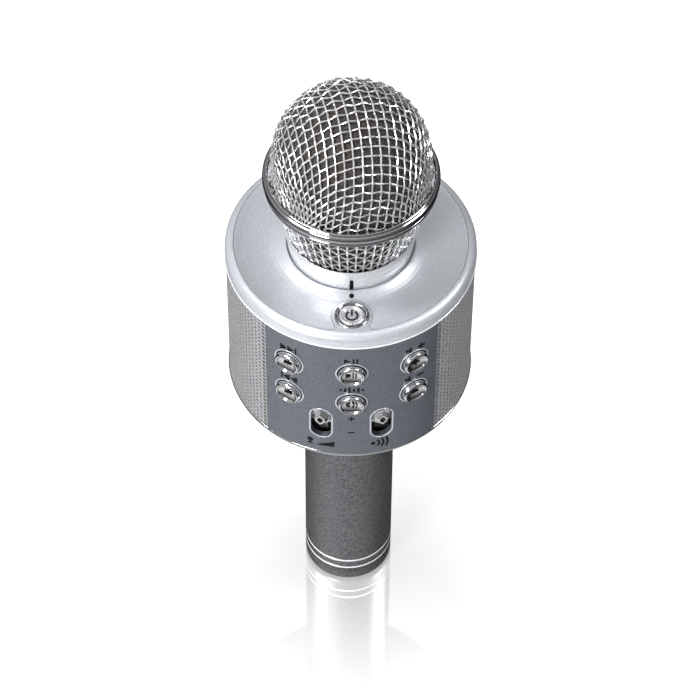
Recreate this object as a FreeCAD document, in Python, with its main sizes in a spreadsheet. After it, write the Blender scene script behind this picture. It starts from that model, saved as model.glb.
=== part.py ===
import FreeCAD, Part
import math
import os
from types import SimpleNamespace

import Sketcher

# A cordless karaoke microphone that stands on the end of its handle.
# Millimetres. +Z is up along the handle, the control panel faces -Y, and the origin is the
# centre of the handle's flat foot. Angles round the drum are measured from -Y towards +X.

# Driving dimensions: alias, value, and what it measures.
SHEET_ROWS = [
    ("handle_radius", 15.1, "outside of the handle"),
    ("handle_bore", 13.7, "inside of the handle tube"),
    ("foot_radius", 13.0, "flat that the microphone stands on"),
    ("end_cap_top", 7.0, "top of the end cap"),
    ("trim_height", 1.0, "height of each bright ring on the handle"),
    ("band_height", 3.05, "plain band between the two bright rings"),
    ("spigot_top", 20.0, "end cap's threaded spigot"),
    ("handle_top", 120.0, "handle tube's end inside the drum"),
    ("shank_radius", 14.5, "handle tube where it is turned down to fit the drum"),
    ("boss_radius", 17.6, "collar under and inside the drum that grips the handle"),
    ("boss_low", 103.0, "lower edge of that collar"),
    ("boss_high", 122.0, "upper edge of that collar"),
    ("drum_radius", 40.0, "outside of the drum"),
    ("wall", 2.0, "drum panels"),
    ("drum_bottom", 106.8, "underside of the drum"),
    ("lower_bead", 109.0, "height of the lower bead ring's middle"),
    ("upper_bead", 163.9, "height of the upper bead ring's middle"),
    ("bead_height", 0.8, "height of a bead ring"),
    ("bead_proud", 0.15, "how far a bead ring stands out of the drum"),
    ("drum_top", 169.0, "top of the drum's rim"),
    ("seam_radius", 37.3, "seam between the rim and the top cover"),
    ("rim_round", 2.6, "rounding of the drum's upper edge"),
    ("deck_low", 160.0, "underside of the deck that closes the drum"),
    ("deck_high", 162.5, "upper face of that deck"),
    ("panel_angle", 84.6, "angle that the front or rear panel covers"),
    ("grille_angle", 94.6, "angle that one side grille covers"),
    ("grille_sheet", 0.8, "thickness of the grille sheet"),
    ("button_radius", 4.35, "round button cap"),
    ("button_gap", 0.3, "gap round a button or a slide knob"),
    ("button_face", 41.7, "distance of a button's face from the drum's axis"),
    ("button_flange", 5.4, "collar that keeps a button behind the panel"),
    ("upper_row", 151.0, "height of the upper row of buttons"),
    ("lower_row", 136.0, "height of the lower row of buttons"),
    ("column_angle", 30.0, "angle of the side columns of buttons"),
    ("slot_angle", 14.3, "angle of the two slide controls"),
    ("slot_middle", 124.2, "height of the middle of a slide control's slot"),
    ("slot_width", 6.8, "width of a slide control's slot"),
    ("slot_height", 14.0, "height of a slide control's slot"),
    ("knob_height", 7.5, "height of a slide knob"),
    ("knob_middle", 127.3, "height of a slide knob's middle at rest"),
    ("knob_face", 41.3, "distance of a slide knob's face from the drum's axis"),
    ("power_distance", 30.3, "power button's distance from the drum's axis"),
    ("tongue_radius", 6.4, "round end of the rim's tongue under the power button"),
    ("tongue_half", 5.4, "half the width of the tongue's neck"),
    ("tongue_flare", 1.8, "rounding where the tongue meets the rim"),
    ("bezel_radius", 5.5, "outside of the power button's bezel"),
    ("power_radius", 4.1, "power button cap"),
    ("neck_bore", 15.6, "hole through the fixed neck"),
    ("neck_radius", 17.2, "outside of the fixed neck"),
    ("lug_radius", 18.35, "tips of the fixed neck's bayonet lugs"),
    ("lug_low", 170.2, "underside of the lugs"),
    ("lug_high", 171.8, "upper side of the lugs"),
    ("collar_foot", 166.9, "lower edge of the head's collar"),
    ("collar_top", 176.8, "upper edge of the head's collar"),
    ("collar_bore", 18.55, "inside of the head's collar"),
    ("collar_outer", 20.95, "widest radius of the head's collar"),
    ("mesh_sheet", 0.9, "thickness of the woven wire"),
    ("hoop_radius", 27.6, "outside of the chrome hoop"),
    ("hoop_low", 197.1, "lower edge of the chrome hoop"),
    ("hoop_high", 202.3, "upper edge of the chrome hoop"),
    ("dome_middle", 207.9, "height of the middle of the dome's sphere"),
    ("dome_radius", 25.1, "outside of the dome's sphere"),
    ("board_thickness", 1.2, "every circuit board"),
    ("control_board_face", 31.2, "control board's front face from the drum's axis"),
    ("key_board_face", 29.2, "side key boards' front face from the drum's axis"),
    ("switch_height", 3.2, "tact switch above its board"),
    ("switch_side", 6.0, "tact switch's square side"),
    ("switch_gap", 0.95, "from a button's stem to its switch at rest"),
    ("chassis_low", 112.8, "underside of the loudspeakers' chassis"),
    ("speaker_height", 136.5, "height of the loudspeakers' axis"),
    ("baffle_outer", 31.0, "outer face of a speaker baffle from the drum's axis"),
    ("baffle_width", 40.0, "width of a speaker baffle"),
    ("speaker_radius", 18.5, "loudspeaker's flange"),
    ("cell_radius", 9.2, "battery cell"),
    ("cell_bottom", 27.0, "lower end of the battery cell"),
    ("cell_length", 65.0, "length of the battery cell"),
    ("post_across", 24.5, "screw posts' distance from the middle, left and right"),
    ("post_along", 22.8, "screw posts' distance from the middle, front and back"),
    ("post_radius", 2.4, "screw posts"),
    ("screw_radius", 1.5, "case screws"),
    ("panel_post_radius", 1.5, "screw posts behind the front panel"),
    ("pilot_radius", 0.8, "holes for the small screws"),
    ("small_screw_grip", 4.0, "how far a small screw goes past its board"),
    ("power_board_low", 157.6, "underside of the power switch's board"),
    ("jack_radius", 1.8, "bore of the audio socket"),
    ("jack_height", 131.0, "height of the audio socket's axis"),
    ("board_side", 3.0, "main board's face, left of the drum's axis"),
]

# Screws of the panel's circuit boards, (across, height) on each board.
CONTROL_BOARD_SCREWS = [(-9.4, 154.4), (9.4, 154.4), (0, 115.0)]
KEY_BOARD_SCREWS = [(0, 128.0), (0, 158.2)]
# The same for the main board, (along the drum's depth, height), and the power switch's board.
MAIN_BOARD_SCREWS = [(-16.2, 146.0), (16.2, 146.0)]
POWER_BOARD_SCREWS = [-7.0, 7.0]

LATCH_LUGS = 3
LUG_ANGLE = 30
LIP_ANGLE = 35
SLEEVE_RIBS = 3

os.makedirs("parts", exist_ok=True)
doc = FreeCAD.newDocument("KaraokeMicrophone")


class Size:
    """A length with the sheet expression that gives it."""

    def __init__(self, number, formula):
        self.number = number
        self.formula = formula

    def __add__(self, other):
        other = as_size(other)
        return Size(self.number + other.number, f"({self.formula} + {other.formula})")

    def __sub__(self, other):
        other = as_size(other)
        return Size(self.number - other.number, f"({self.formula} - {other.formula})")

    def __mul__(self, factor):
        return Size(self.number * factor, f"({self.formula} * {factor})")

    def __truediv__(self, factor):
        return Size(self.number / factor, f"({self.formula} / {factor})")

    def __neg__(self):
        return Size(-self.number, f"(0 - {self.formula})")

    def __radd__(self, other):
        return as_size(other) + self

    def __rsub__(self, other):
        return as_size(other) - self


def as_size(value):
    if isinstance(value, Size):
        return value
    return Size(float(value), f"({value})")


def fill_sheet():
    """Write the driving dimensions and hand them back by name."""
    sheet = doc.addObject("Spreadsheet::Sheet", "Sizes")
    names = SimpleNamespace()
    for row, (alias, value, note) in enumerate(SHEET_ROWS, start=1):
        sheet.set(f"A{row}", alias)
        sheet.set(f"B{row}", str(value))
        sheet.set(f"C{row}", note)
        sheet.setAlias(f"B{row}", alias)
        setattr(names, alias, Size(value, f"Sizes.{alias}"))
    doc.recompute()
    return names


S = fill_sheet()
SUB_PARTS = []


# ---------------------------------------------------------------- drawing helpers

def sub_part(thing, label):
    """Give a finished object the name of its sub-part."""
    thing.Label = label
    SUB_PARTS.append(thing)
    return thing


def new_body(label):
    return sub_part(doc.addObject("PartDesign::Body", label), label)


def helper_body(name):
    """A body that is only an ingredient of a boolean."""
    return doc.addObject("PartDesign::Body", name)


def origin_feature(body, role):
    for feature in body.Origin.OriginFeatures:
        if feature.Role == role:
            return feature
    raise ValueError(role)


def bind(thing, path, value):
    thing.setExpression(path, as_size(value).formula)


def new_sketch(body, role, distance=0, turn=0):
    """A sketch on an origin plane, moved out along its normal and turned about its upright."""
    sketch = body.newObject("Sketcher::SketchObject", "Outline")
    sketch.AttachmentSupport = [(origin_feature(body, role), "")]
    sketch.MapMode = "FlatFace"
    turned_by = FreeCAD.Rotation(FreeCAD.Vector(0, 1, 0), turn)
    shift = turned_by.multVec(FreeCAD.Vector(0, 0, as_size(distance).number))
    sketch.AttachmentOffset = FreeCAD.Placement(shift, turned_by)
    if turn == 0 and isinstance(distance, Size):
        bind(sketch, "AttachmentOffset.Base.z", distance)
    return sketch


def pin(sketch, kind, axis, geometry, vertex, value):
    """Hold one coordinate of a sketch point."""
    value = as_size(value)
    if abs(value.number) < 1e-9:
        sketch.addConstraint(Sketcher.Constraint("PointOnObject", geometry, vertex, axis))
        return
    place = sketch.addConstraint(
        Sketcher.Constraint(kind, -1, 1, geometry, vertex, value.number))
    bind(sketch, f"Constraints[{place}]", value)


def pin_point(sketch, geometry, vertex, across, up):
    pin(sketch, "DistanceX", -2, geometry, vertex, across)
    pin(sketch, "DistanceY", -1, geometry, vertex, up)


def draw_outline(sketch, corners):
    """A closed outline of straight lines through (across, up) corners."""
    count = len(corners)
    first = sketch.GeometryCount
    places = [FreeCAD.Vector(as_size(a).number, as_size(b).number, 0) for a, b in corners]
    for index in range(count):
        line = Part.LineSegment(places[index], places[(index + 1) % count])
        sketch.addGeometry(line, False)
    for index in range(count):
        following = first + (index + 1) % count
        sketch.addConstraint(Sketcher.Constraint("Coincident", first + index, 2, following, 1))
    for index, (across, up) in enumerate(corners):
        pin_point(sketch, first + index, 1, across, up)


def draw_rectangle(sketch, left, low, right, high):
    draw_outline(sketch, [(left, low), (right, low), (right, high), (left, high)])


def draw_circle(sketch, across, up, radius):
    middle = FreeCAD.Vector(as_size(across).number, as_size(up).number, 0)
    circle = Part.Circle(middle, FreeCAD.Vector(0, 0, 1), as_size(radius).number)
    index = sketch.addGeometry(circle, False)
    place = sketch.addConstraint(Sketcher.Constraint("Radius", index, as_size(radius).number))
    bind(sketch, f"Constraints[{place}]", radius)
    pin_point(sketch, index, 3, across, up)


def draw_slot(sketch, across, up, width, height):
    """An upright slot with round ends."""
    across, up = as_size(across), as_size(up)
    radius = as_size(width) / 2
    half = as_size(height) / 2 - radius
    x, y, r, d = across.number, up.number, radius.number, half.number
    normal = FreeCAD.Vector(0, 0, 1)
    upper = Part.Circle(FreeCAD.Vector(x, y + d, 0), normal, r)
    lower = Part.Circle(FreeCAD.Vector(x, y - d, 0), normal, r)
    sketch.addGeometry(
        Part.LineSegment(FreeCAD.Vector(x + r, y - d, 0), FreeCAD.Vector(x + r, y + d, 0)), False)
    sketch.addGeometry(Part.ArcOfCircle(upper, 0, math.pi), False)
    sketch.addGeometry(
        Part.LineSegment(FreeCAD.Vector(x - r, y + d, 0), FreeCAD.Vector(x - r, y - d, 0)), False)
    sketch.addGeometry(Part.ArcOfCircle(lower, math.pi, 2 * math.pi), False)
    sketch.addConstraint(Sketcher.Constraint("Tangent", 0, 2, 1, 1))
    sketch.addConstraint(Sketcher.Constraint("Tangent", 1, 2, 2, 1))
    sketch.addConstraint(Sketcher.Constraint("Tangent", 2, 2, 3, 1))
    sketch.addConstraint(Sketcher.Constraint("Tangent", 3, 2, 0, 1))
    place = sketch.addConstraint(Sketcher.Constraint("Radius", 1, r))
    bind(sketch, f"Constraints[{place}]", radius)
    pin_point(sketch, 1, 3, across, up + half)
    pin(sketch, "DistanceY", -1, 3, 3, up - half)


def turned(body, corners, angle=None):
    """Revolve a (radius, height) outline about Z: whole, or a sector centred on -Y."""
    sector = angle is not None
    sketch = new_sketch(body, "YZ_Plane" if sector else "XZ_Plane")
    if sector:
        corners = [(-as_size(radius), height) for radius, height in corners]
    draw_outline(sketch, corners)
    turn = body.newObject("PartDesign::Revolution", "Turned")
    turn.Profile = sketch
    turn.ReferenceAxis = (sketch, ["V_Axis"])
    if sector:
        turn.Midplane = True
        turn.Angle = as_size(angle).number
        bind(turn, "Angle", angle)
    else:
        turn.Angle = 360
    doc.recompute()
    return turn


def pad(body, sketch, length, reverse=False, both_ways=False):
    feature = body.newObject("PartDesign::Pad", "Pad")
    feature.Profile = sketch
    bind(feature, "Length", length)
    feature.Reversed = reverse
    if both_ways:
        feature.SideType = "Symmetric"
    doc.recompute()
    return feature


def pocket(body, sketch, length, reverse=False, both_ways=False):
    """Cut a sketch into the body, and make sure that it removed something."""
    before = body.Shape.Volume
    feature = body.newObject("PartDesign::Pocket", "Pocket")
    feature.Profile = sketch
    bind(feature, "Length", length)
    feature.Reversed = reverse
    if both_ways:
        feature.SideType = "Symmetric"
    doc.recompute()
    if not body.Shape.Volume < before - 1e-6:
        raise RuntimeError(f"{body.Label}: a pocket cut nothing")
    return feature


def ring_edges(feature, radius, height):
    """Names of the circular edges about Z with this radius at this height."""
    radius, height = as_size(radius).number, as_size(height).number
    names = []
    for index, edge in enumerate(feature.Shape.Edges, start=1):
        curve = edge.Curve
        if not isinstance(curve, Part.Circle):
            continue
        on_axis = abs(curve.Center.x) < 1e-3 and abs(curve.Center.y) < 1e-3
        if on_axis and abs(curve.Radius - radius) < 1e-3 and abs(curve.Center.z - height) < 1e-3:
            names.append(f"Edge{index}")
    if not names:
        raise RuntimeError(f"{feature.Label}: no edge at radius {radius}, height {height}")
    return names


def round_ring(body, radius, height, size):
    """Fillet the ring edge at a radius and height."""
    feature = body.Tip
    fillet = body.newObject("PartDesign::Fillet", "Round")
    fillet.Base = (feature, ring_edges(feature, radius, height))
    bind(fillet, "Radius", size)
    doc.recompute()
    return fillet


def bevel_ring(body, radius, height, size):
    """Chamfer the ring edge at a radius and height."""
    feature = body.Tip
    chamfer = body.newObject("PartDesign::Chamfer", "Bevel")
    chamfer.Base = (feature, ring_edges(feature, radius, height))
    bind(chamfer, "Size", size)
    doc.recompute()
    return chamfer


def repeat_round(body, feature, count):
    """Repeat a feature evenly about Z."""
    pattern = body.newObject("PartDesign::PolarPattern", "Repeat")
    pattern.Originals = [feature]
    pattern.Axis = (origin_feature(body, "Z_Axis"), [""])
    pattern.Angle = 360
    pattern.Occurrences = count
    body.Tip = pattern
    doc.recompute()
    return pattern


def cylinder(name, radius, low, high, x=0, y=0):
    tool = doc.addObject("Part::Cylinder", name)
    bind(tool, "Radius", radius)
    bind(tool, "Height", as_size(high) - low)
    bind(tool, "Placement.Base.x", x)
    bind(tool, "Placement.Base.y", y)
    bind(tool, "Placement.Base.z", low)
    return tool


def box(name, low, high):
    """A box between two corners."""
    tool = doc.addObject("Part::Box", name)
    for side, axis, start, end in zip(("Length", "Width", "Height"), "xyz", low, high):
        bind(tool, side, as_size(end) - start)
        bind(tool, f"Placement.Base.{axis}", start)
    return tool


def sphere(name, radius, height):
    tool = doc.addObject("Part::Sphere", name)
    bind(tool, "Radius", radius)
    bind(tool, "Placement.Base.z", height)
    return tool


def cone(name, low_radius, high_radius, low, high):
    tool = doc.addObject("Part::Cone", name)
    bind(tool, "Radius1", low_radius)
    bind(tool, "Radius2", high_radius)
    bind(tool, "Height", as_size(high) - low)
    bind(tool, "Placement.Base.z", low)
    return tool


def cut(name, base, tool):
    result = doc.addObject("Part::Cut", name)
    result.Base = base
    result.Tool = tool
    result.Refine = True
    return result


def fuse(name, pieces):
    result = doc.addObject("Part::MultiFuse", name)
    result.Shapes = pieces
    result.Refine = True
    return result


def common(name, first, second):
    result = doc.addObject("Part::MultiCommon", name)
    result.Shapes = [first, second]
    return result


def group(label, pieces):
    """Separate identical solids that share one node."""
    result = doc.addObject("Part::Compound", label)
    result.Links = pieces
    return sub_part(result, label)


def facing_out(angle, height=0):
    """Stand a body's Z axis out of the drum at an angle from -Y; its Y axis points up."""
    upright = FreeCAD.Rotation(FreeCAD.Vector(1, 0, 0), 90)
    around = FreeCAD.Rotation(FreeCAD.Vector(0, 0, 1), angle)
    return FreeCAD.Placement(FreeCAD.Vector(0, 0, height), around.multiply(upright))


def place_out(thing, angle, height):
    thing.Placement = facing_out(as_size(angle).number, as_size(height).number)
    bind(thing, "Placement.Base.z", height)


# ---------------------------------------------------------------- handle

def handle_end_cap():
    body = new_body("handle_end_cap")
    spigot = S.handle_bore - 0.05
    turned(body, [
        (0, 0), (S.handle_radius, 0), (S.handle_radius, S.end_cap_top),
        (spigot, S.end_cap_top), (spigot, S.spigot_top),
        (spigot - 1.8, S.spigot_top), (spigot - 1.8, 2.2), (0, 2.2)])
    round_ring(body, S.handle_radius, 0, S.handle_radius - S.foot_radius)


def sleeve_ring(label, low, high):
    """A plain ring of the handle's own diameter."""
    body = new_body(label)
    turned(body, [
        (S.handle_bore, low), (S.handle_radius, low), (S.handle_radius, high),
        (S.handle_bore, high)])
    return body


def handle_rings():
    band_low = S.end_cap_top + S.trim_height
    band_high = band_low + S.band_height
    sleeve_ring("trim_ring_lower", S.end_cap_top, band_low)
    sleeve_ring("handle_band", band_low, band_high)
    sleeve_ring("trim_ring_upper", band_high, band_high + S.trim_height)
    tube = new_body("handle_tube")
    turned(tube, [
        (S.handle_bore, band_high + S.trim_height), (S.handle_radius, band_high + S.trim_height),
        (S.handle_radius, S.boss_low), (S.shank_radius, S.boss_low),
        (S.shank_radius, S.handle_top), (S.handle_bore, S.handle_top)])


def battery():
    pad_body = new_body("battery_pad")
    turned(pad_body, [
        (0, S.spigot_top), (S.handle_bore - 0.4, S.spigot_top),
        (S.handle_bore - 0.4, S.cell_bottom), (0, S.cell_bottom)])

    cell = new_body("battery_cell")
    cell_top = S.cell_bottom + S.cell_length
    turned(cell, [
        (0, S.cell_bottom), (S.cell_radius, S.cell_bottom), (S.cell_radius, cell_top - 1.2),
        (3.2, cell_top - 1.2), (3.2, cell_top), (0, cell_top)])
    bevel_ring(cell, S.cell_radius, S.cell_bottom, 0.5)

    sleeve = new_body("battery_sleeve")
    inner = S.cell_radius + 0.1
    turned(sleeve, [
        (inner, S.cell_bottom + 1), (inner + 1, S.cell_bottom + 1), (inner + 1, cell_top + 4),
        (inner, cell_top + 4)])
    rib_sketch = new_sketch(sleeve, "XY_Plane", S.cell_bottom + 1)
    draw_rectangle(rib_sketch, inner + 0.5, -1.2, S.handle_bore - 0.2, 1.2)
    rib = pad(sleeve, rib_sketch, S.cell_length + 3)
    repeat_round(sleeve, rib, SLEEVE_RIBS)

    board = new_body("battery_protection_board")
    turned(board, [
        (0, cell_top), (S.cell_radius - 0.4, cell_top),
        (S.cell_radius - 0.4, cell_top + 1.0), (0, cell_top + 1.0)])


def battery_wires():
    """Two leads from the protection board up to the main board."""
    start = S.cell_bottom + S.cell_length + 1.0
    leads = []
    for index, side in enumerate((-1, 1)):
        body = helper_body(f"lead_{index}")
        sketch = new_sketch(body, "XY_Plane", start)
        draw_circle(sketch, -2.0 + 2.4 * side, 3.0, 0.75)
        pad(body, sketch, 125.5 - start)
        leads.append(body)
    group("battery_wires", leads)


# ---------------------------------------------------------------- drum

def drum_base():
    body = new_body("drum_base")
    socket = S.shank_radius + 0.05
    bead_low = S.lower_bead - S.bead_height / 2
    plate_top = S.drum_bottom + 2.4
    turned(body, [
        (socket, S.boss_low), (S.boss_radius, S.boss_low), (S.boss_radius, S.drum_bottom),
        (S.drum_radius - 0.2, S.drum_bottom), (S.drum_radius - 0.2, bead_low),
        (S.drum_radius - 2.2, bead_low), (S.drum_radius - 2.2, S.chassis_low),
        (S.drum_radius - 4.2, S.chassis_low), (S.drum_radius - 4.2, plate_top),
        (S.boss_radius, plate_top), (S.boss_radius, S.boss_high), (socket, S.boss_high)])
    round_ring(body, S.drum_radius - 0.2, S.drum_bottom, 1.3)
    bevel_ring(body, S.boss_radius, S.boss_low, 0.8)
    posts = new_sketch(body, "XY_Plane", plate_top - 0.5)
    holes = new_sketch(body, "XY_Plane", S.deck_low)
    for x in (S.post_across, -S.post_across):
        for y in (S.post_along, -S.post_along):
            draw_circle(posts, x, y, S.post_radius)
            draw_circle(holes, x, y, S.screw_radius)
    pad(body, posts, S.deck_low - plate_top + 0.5)
    pocket(body, holes, 13.0)


def bead_ring(label, middle):
    """A thin bright ring between the drum's panels and its base or rim."""
    body = new_body(label)
    low, high = middle - S.bead_height / 2, middle + S.bead_height / 2
    outer = S.drum_radius + S.bead_proud
    turned(body, [
        (S.drum_radius - 2.15, low), (outer, low), (outer, high), (S.drum_radius - 2.15, high)])
    round_ring(body, outer, low, 0.25)
    round_ring(body, outer, high, 0.25)


def cover_outline(inner, outer):
    """Section of the dished plate that closes the drum's top, with its lip round the neck."""
    return [
        (outer, 167.3), (outer, S.drum_top), (34.5, 168.4), (32.0, 168.0), (29.5, 167.75),
        (27.5, 167.68), (25.8, 167.75), (24.4, 168.0), (23.2, 168.4), (22.2, 168.85),
        (21.4, S.drum_top + 0.2), (20.9, S.drum_top + 0.2), (20.5, 168.9), (20.3, 168.2),
        (20.3, 166.4), (inner, 166.4), (inner, 165.0), (22.4, 165.0),
        (24.0, 165.9), (31.0, 165.9), (34.0, 166.6), (36.0, 167.3)]


def keyhole(name, gap):
    """Prism of the tongue that carries the power button, with a flared mouth at the seam."""
    low, high = 165.0, 171.0
    gap = as_size(gap)
    flare = S.tongue_flare
    side = S.tongue_half + flare
    middle = ((S.seam_radius - flare).number ** 2 - side.number ** 2) ** 0.5
    mouth = S.seam_radius + 1.0
    disc = cylinder(name + "_disc", S.tongue_radius + gap, low, high, 0, -S.power_distance)
    neck = box(name + "_neck", (-(S.tongue_half + gap), -mouth, low),
               (S.tongue_half + gap, -S.power_distance - 3.0, high))
    blank = box(name + "_mouth", (-(side + 0.36), -mouth, low), (side + 0.36, -middle, high))
    corners = [cylinder(name + "_corner", flare - gap, low - 1, high + 1, x, -middle)
               for x in (side, -side)]
    flared = cut(name + "_flare", blank, fuse(name + "_corners", corners))
    return fuse(name, [disc, neck, flared])


def drum_top_rim():
    ring = helper_body("rim_ring")
    bead_high = S.upper_bead + S.bead_height / 2
    wall = S.drum_radius - 2.2
    turned(ring, [
        (18.6, S.deck_low), (wall, S.deck_low), (wall, bead_high), (S.drum_radius, bead_high),
        (S.drum_radius, S.drum_top), (S.seam_radius, S.drum_top), (S.seam_radius, 167.2),
        (36.3, 167.2), (36.3, S.deck_high), (18.6, S.deck_high)])
    round_ring(ring, S.drum_radius, S.drum_top, S.rim_round)
    screws = new_sketch(ring, "XY_Plane", S.deck_high)
    for x in (S.post_across, -S.post_across):
        for y in (S.post_along, -S.post_along):
            draw_circle(screws, x, y, S.screw_radius)
    pocket(ring, screws, 5.0)
    board_high = S.power_board_low + S.board_thickness
    posts = new_sketch(ring, "XY_Plane", board_high)
    pilots = new_sketch(ring, "XY_Plane", S.power_board_low)
    for x in POWER_BOARD_SCREWS:
        draw_circle(posts, x, -S.power_distance, S.panel_post_radius)
        draw_circle(pilots, x, -S.power_distance, S.pilot_radius)
    pad(ring, posts, S.deck_low - board_high + 0.5)
    pocket(ring, pilots, S.board_thickness + 3.0, reverse=True)

    plate = helper_body("tongue_plate")
    turned(plate, cover_outline(21.0, S.seam_radius + 0.3))
    tongue = common("tongue", plate, keyhole("tongue_outline", 0))
    whole = fuse("rim_with_tongue", [ring, tongue])
    button_hole = cylinder("power_hole", S.bezel_radius + 0.02, S.deck_low - 1, 172.0,
                           0, -S.power_distance)
    rim = cut("drum_top_rim", whole, button_hole)
    sub_part(rim, "drum_top_rim")


def top_cover():
    plate = helper_body("cover_plate")
    turned(plate, cover_outline(17.7, S.seam_radius - 0.15))
    dot = new_sketch(plate, "XY_Plane", 170.0)
    draw_circle(dot, 0, -22.6, 0.8)
    pocket(plate, dot, 1.9)
    cover = cut("top_cover", plate, keyhole("cover_notch", 0.15))
    sub_part(cover, "top_cover")


PANEL_BUTTONS = [
    # label, angle, row, depth of the tip of its stem
    ("button_next", -S.column_angle, S.upper_row, S.key_board_face),
    ("button_previous", -S.column_angle, S.lower_row, S.key_board_face),
    ("button_play_pause", as_size(0), S.upper_row, S.control_board_face),
    ("button_voice", as_size(0), S.lower_row, S.control_board_face),
    ("button_volume_up", S.column_angle, S.upper_row, S.key_board_face),
    ("button_volume_down", S.column_angle, S.lower_row, S.key_board_face),
]


def panel_blank(body):
    low = S.lower_bead + S.bead_height / 2 + 0.05
    high = S.upper_bead - S.bead_height / 2 - 0.05
    inner = S.drum_radius - S.wall
    turned(body, [(inner, low), (S.drum_radius, low), (S.drum_radius, high), (inner, high)],
           S.panel_angle)


def panel_post(body, angle, across, height, face):
    """A screw post from the panel's inside to a circuit board's face."""
    turn = as_size(angle).number
    radius = S.panel_post_radius.number
    middle_of_wall = (S.drum_radius - S.wall / 2).number + 0.2
    reach = (middle_of_wall ** 2 - (abs(across) + radius) ** 2) ** 0.5
    sketch = new_sketch(body, "XZ_Plane", face, turn)
    draw_circle(sketch, across, height, S.panel_post_radius)
    pad(body, sketch, reach - face)
    hole = new_sketch(body, "XZ_Plane", face, turn)
    draw_circle(hole, across, height, S.pilot_radius)
    pocket(body, hole, S.small_screw_grip + 0.2, reverse=True)


def front_panel():
    body = new_body("front_panel")
    panel_blank(body)
    for angle in (-S.column_angle, as_size(0), S.column_angle):
        holes = new_sketch(body, "XZ_Plane", 0, angle.number)
        for height in (S.upper_row, S.lower_row):
            draw_circle(holes, 0, height, S.button_radius + S.button_gap)
        pocket(body, holes, 60.0, reverse=True)
    for angle in (-S.slot_angle, S.slot_angle):
        slot = new_sketch(body, "XZ_Plane", 0, angle.number)
        draw_slot(slot, 0, S.slot_middle, S.slot_width, S.slot_height)
        pocket(body, slot, 60.0, reverse=True)
    for across, height in CONTROL_BOARD_SCREWS:
        panel_post(body, 0, across, height, S.control_board_face)
    for angle in (-S.column_angle, S.column_angle):
        for across, height in KEY_BOARD_SCREWS:
            panel_post(body, angle, across, height, S.key_board_face)


def rear_panel():
    body = new_body("rear_panel")
    panel_blank(body)
    ports = new_sketch(body, "XZ_Plane")
    draw_circle(ports, 0, S.jack_height, 3.1)
    draw_rectangle(ports, 0.2, 138.6, 3.4, 147.4)
    pocket(body, ports, 60.0, reverse=True)
    card = new_sketch(body, "XZ_Plane")
    draw_rectangle(card, 1.0, 149.4, 3.2, 161.2)
    pocket(body, card, 60.0, reverse=True)
    light = new_sketch(body, "XZ_Plane")
    draw_circle(light, 0, 122.5, 1.25)
    pocket(body, light, 60.0, reverse=True)
    body.Placement = FreeCAD.Placement(
        FreeCAD.Vector(0, 0, 0), FreeCAD.Rotation(FreeCAD.Vector(0, 0, 1), 180))


def grilles():
    low = S.lower_bead + S.bead_height / 2 + 0.05
    high = S.upper_bead - S.bead_height / 2 - 0.05
    outer = S.drum_radius - 0.25
    inner = outer - S.grille_sheet
    for label, quarter in (("grille_right", 90), ("grille_left", -90)):
        body = new_body(label)
        turned(body, [(inner, low), (outer, low), (outer, high), (inner, high)],
               S.grille_angle)
        body.Placement = FreeCAD.Placement(
            FreeCAD.Vector(0, 0, 0), FreeCAD.Rotation(FreeCAD.Vector(0, 0, 1), quarter))


# ---------------------------------------------------------------- inside the drum

def chassis_frame():
    """A square tube, open at the front and back, that holds both loudspeakers."""
    body = new_body("chassis_frame")
    low, high = S.chassis_low, S.deck_low
    inner = S.baffle_outer - 2.0
    outline = new_sketch(body, "XZ_Plane")
    draw_rectangle(outline, -S.baffle_outer, low, S.baffle_outer, high)
    draw_rectangle(outline, -inner, low + 2.0, inner, high - 2.0)
    pad(body, outline, S.baffle_width, both_ways=True)
    speakers = new_sketch(body, "YZ_Plane")
    draw_circle(speakers, 0, S.speaker_height, 17.0)
    pocket(body, speakers, 80.0, both_ways=True)
    lower_hole = new_sketch(body, "XY_Plane", 118.0)
    draw_circle(lower_hole, 0, 0, S.boss_radius + 0.3)
    pocket(body, lower_hole, 6.0)
    upper_hole = new_sketch(body, "XY_Plane", 162.0)
    draw_circle(upper_hole, 0, 0, 14.0)
    pocket(body, upper_hole, 6.0)
    rail_low = 134.0
    rail_side = -(S.board_side + S.board_thickness)
    for start, end in ((-18.0, -14.5), (14.5, 18.0)):
        rail = new_sketch(body, "XY_Plane", rail_low)
        draw_rectangle(rail, rail_side - 3.0, start, rail_side, end)
        pad(body, rail, high - 1.0 - rail_low)
    pilots = new_sketch(body, "YZ_Plane", rail_side - 3.5)
    for along, height in MAIN_BOARD_SCREWS:
        draw_circle(pilots, along, height, S.pilot_radius)
    pocket(body, pilots, 4.0, reverse=True)


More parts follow.
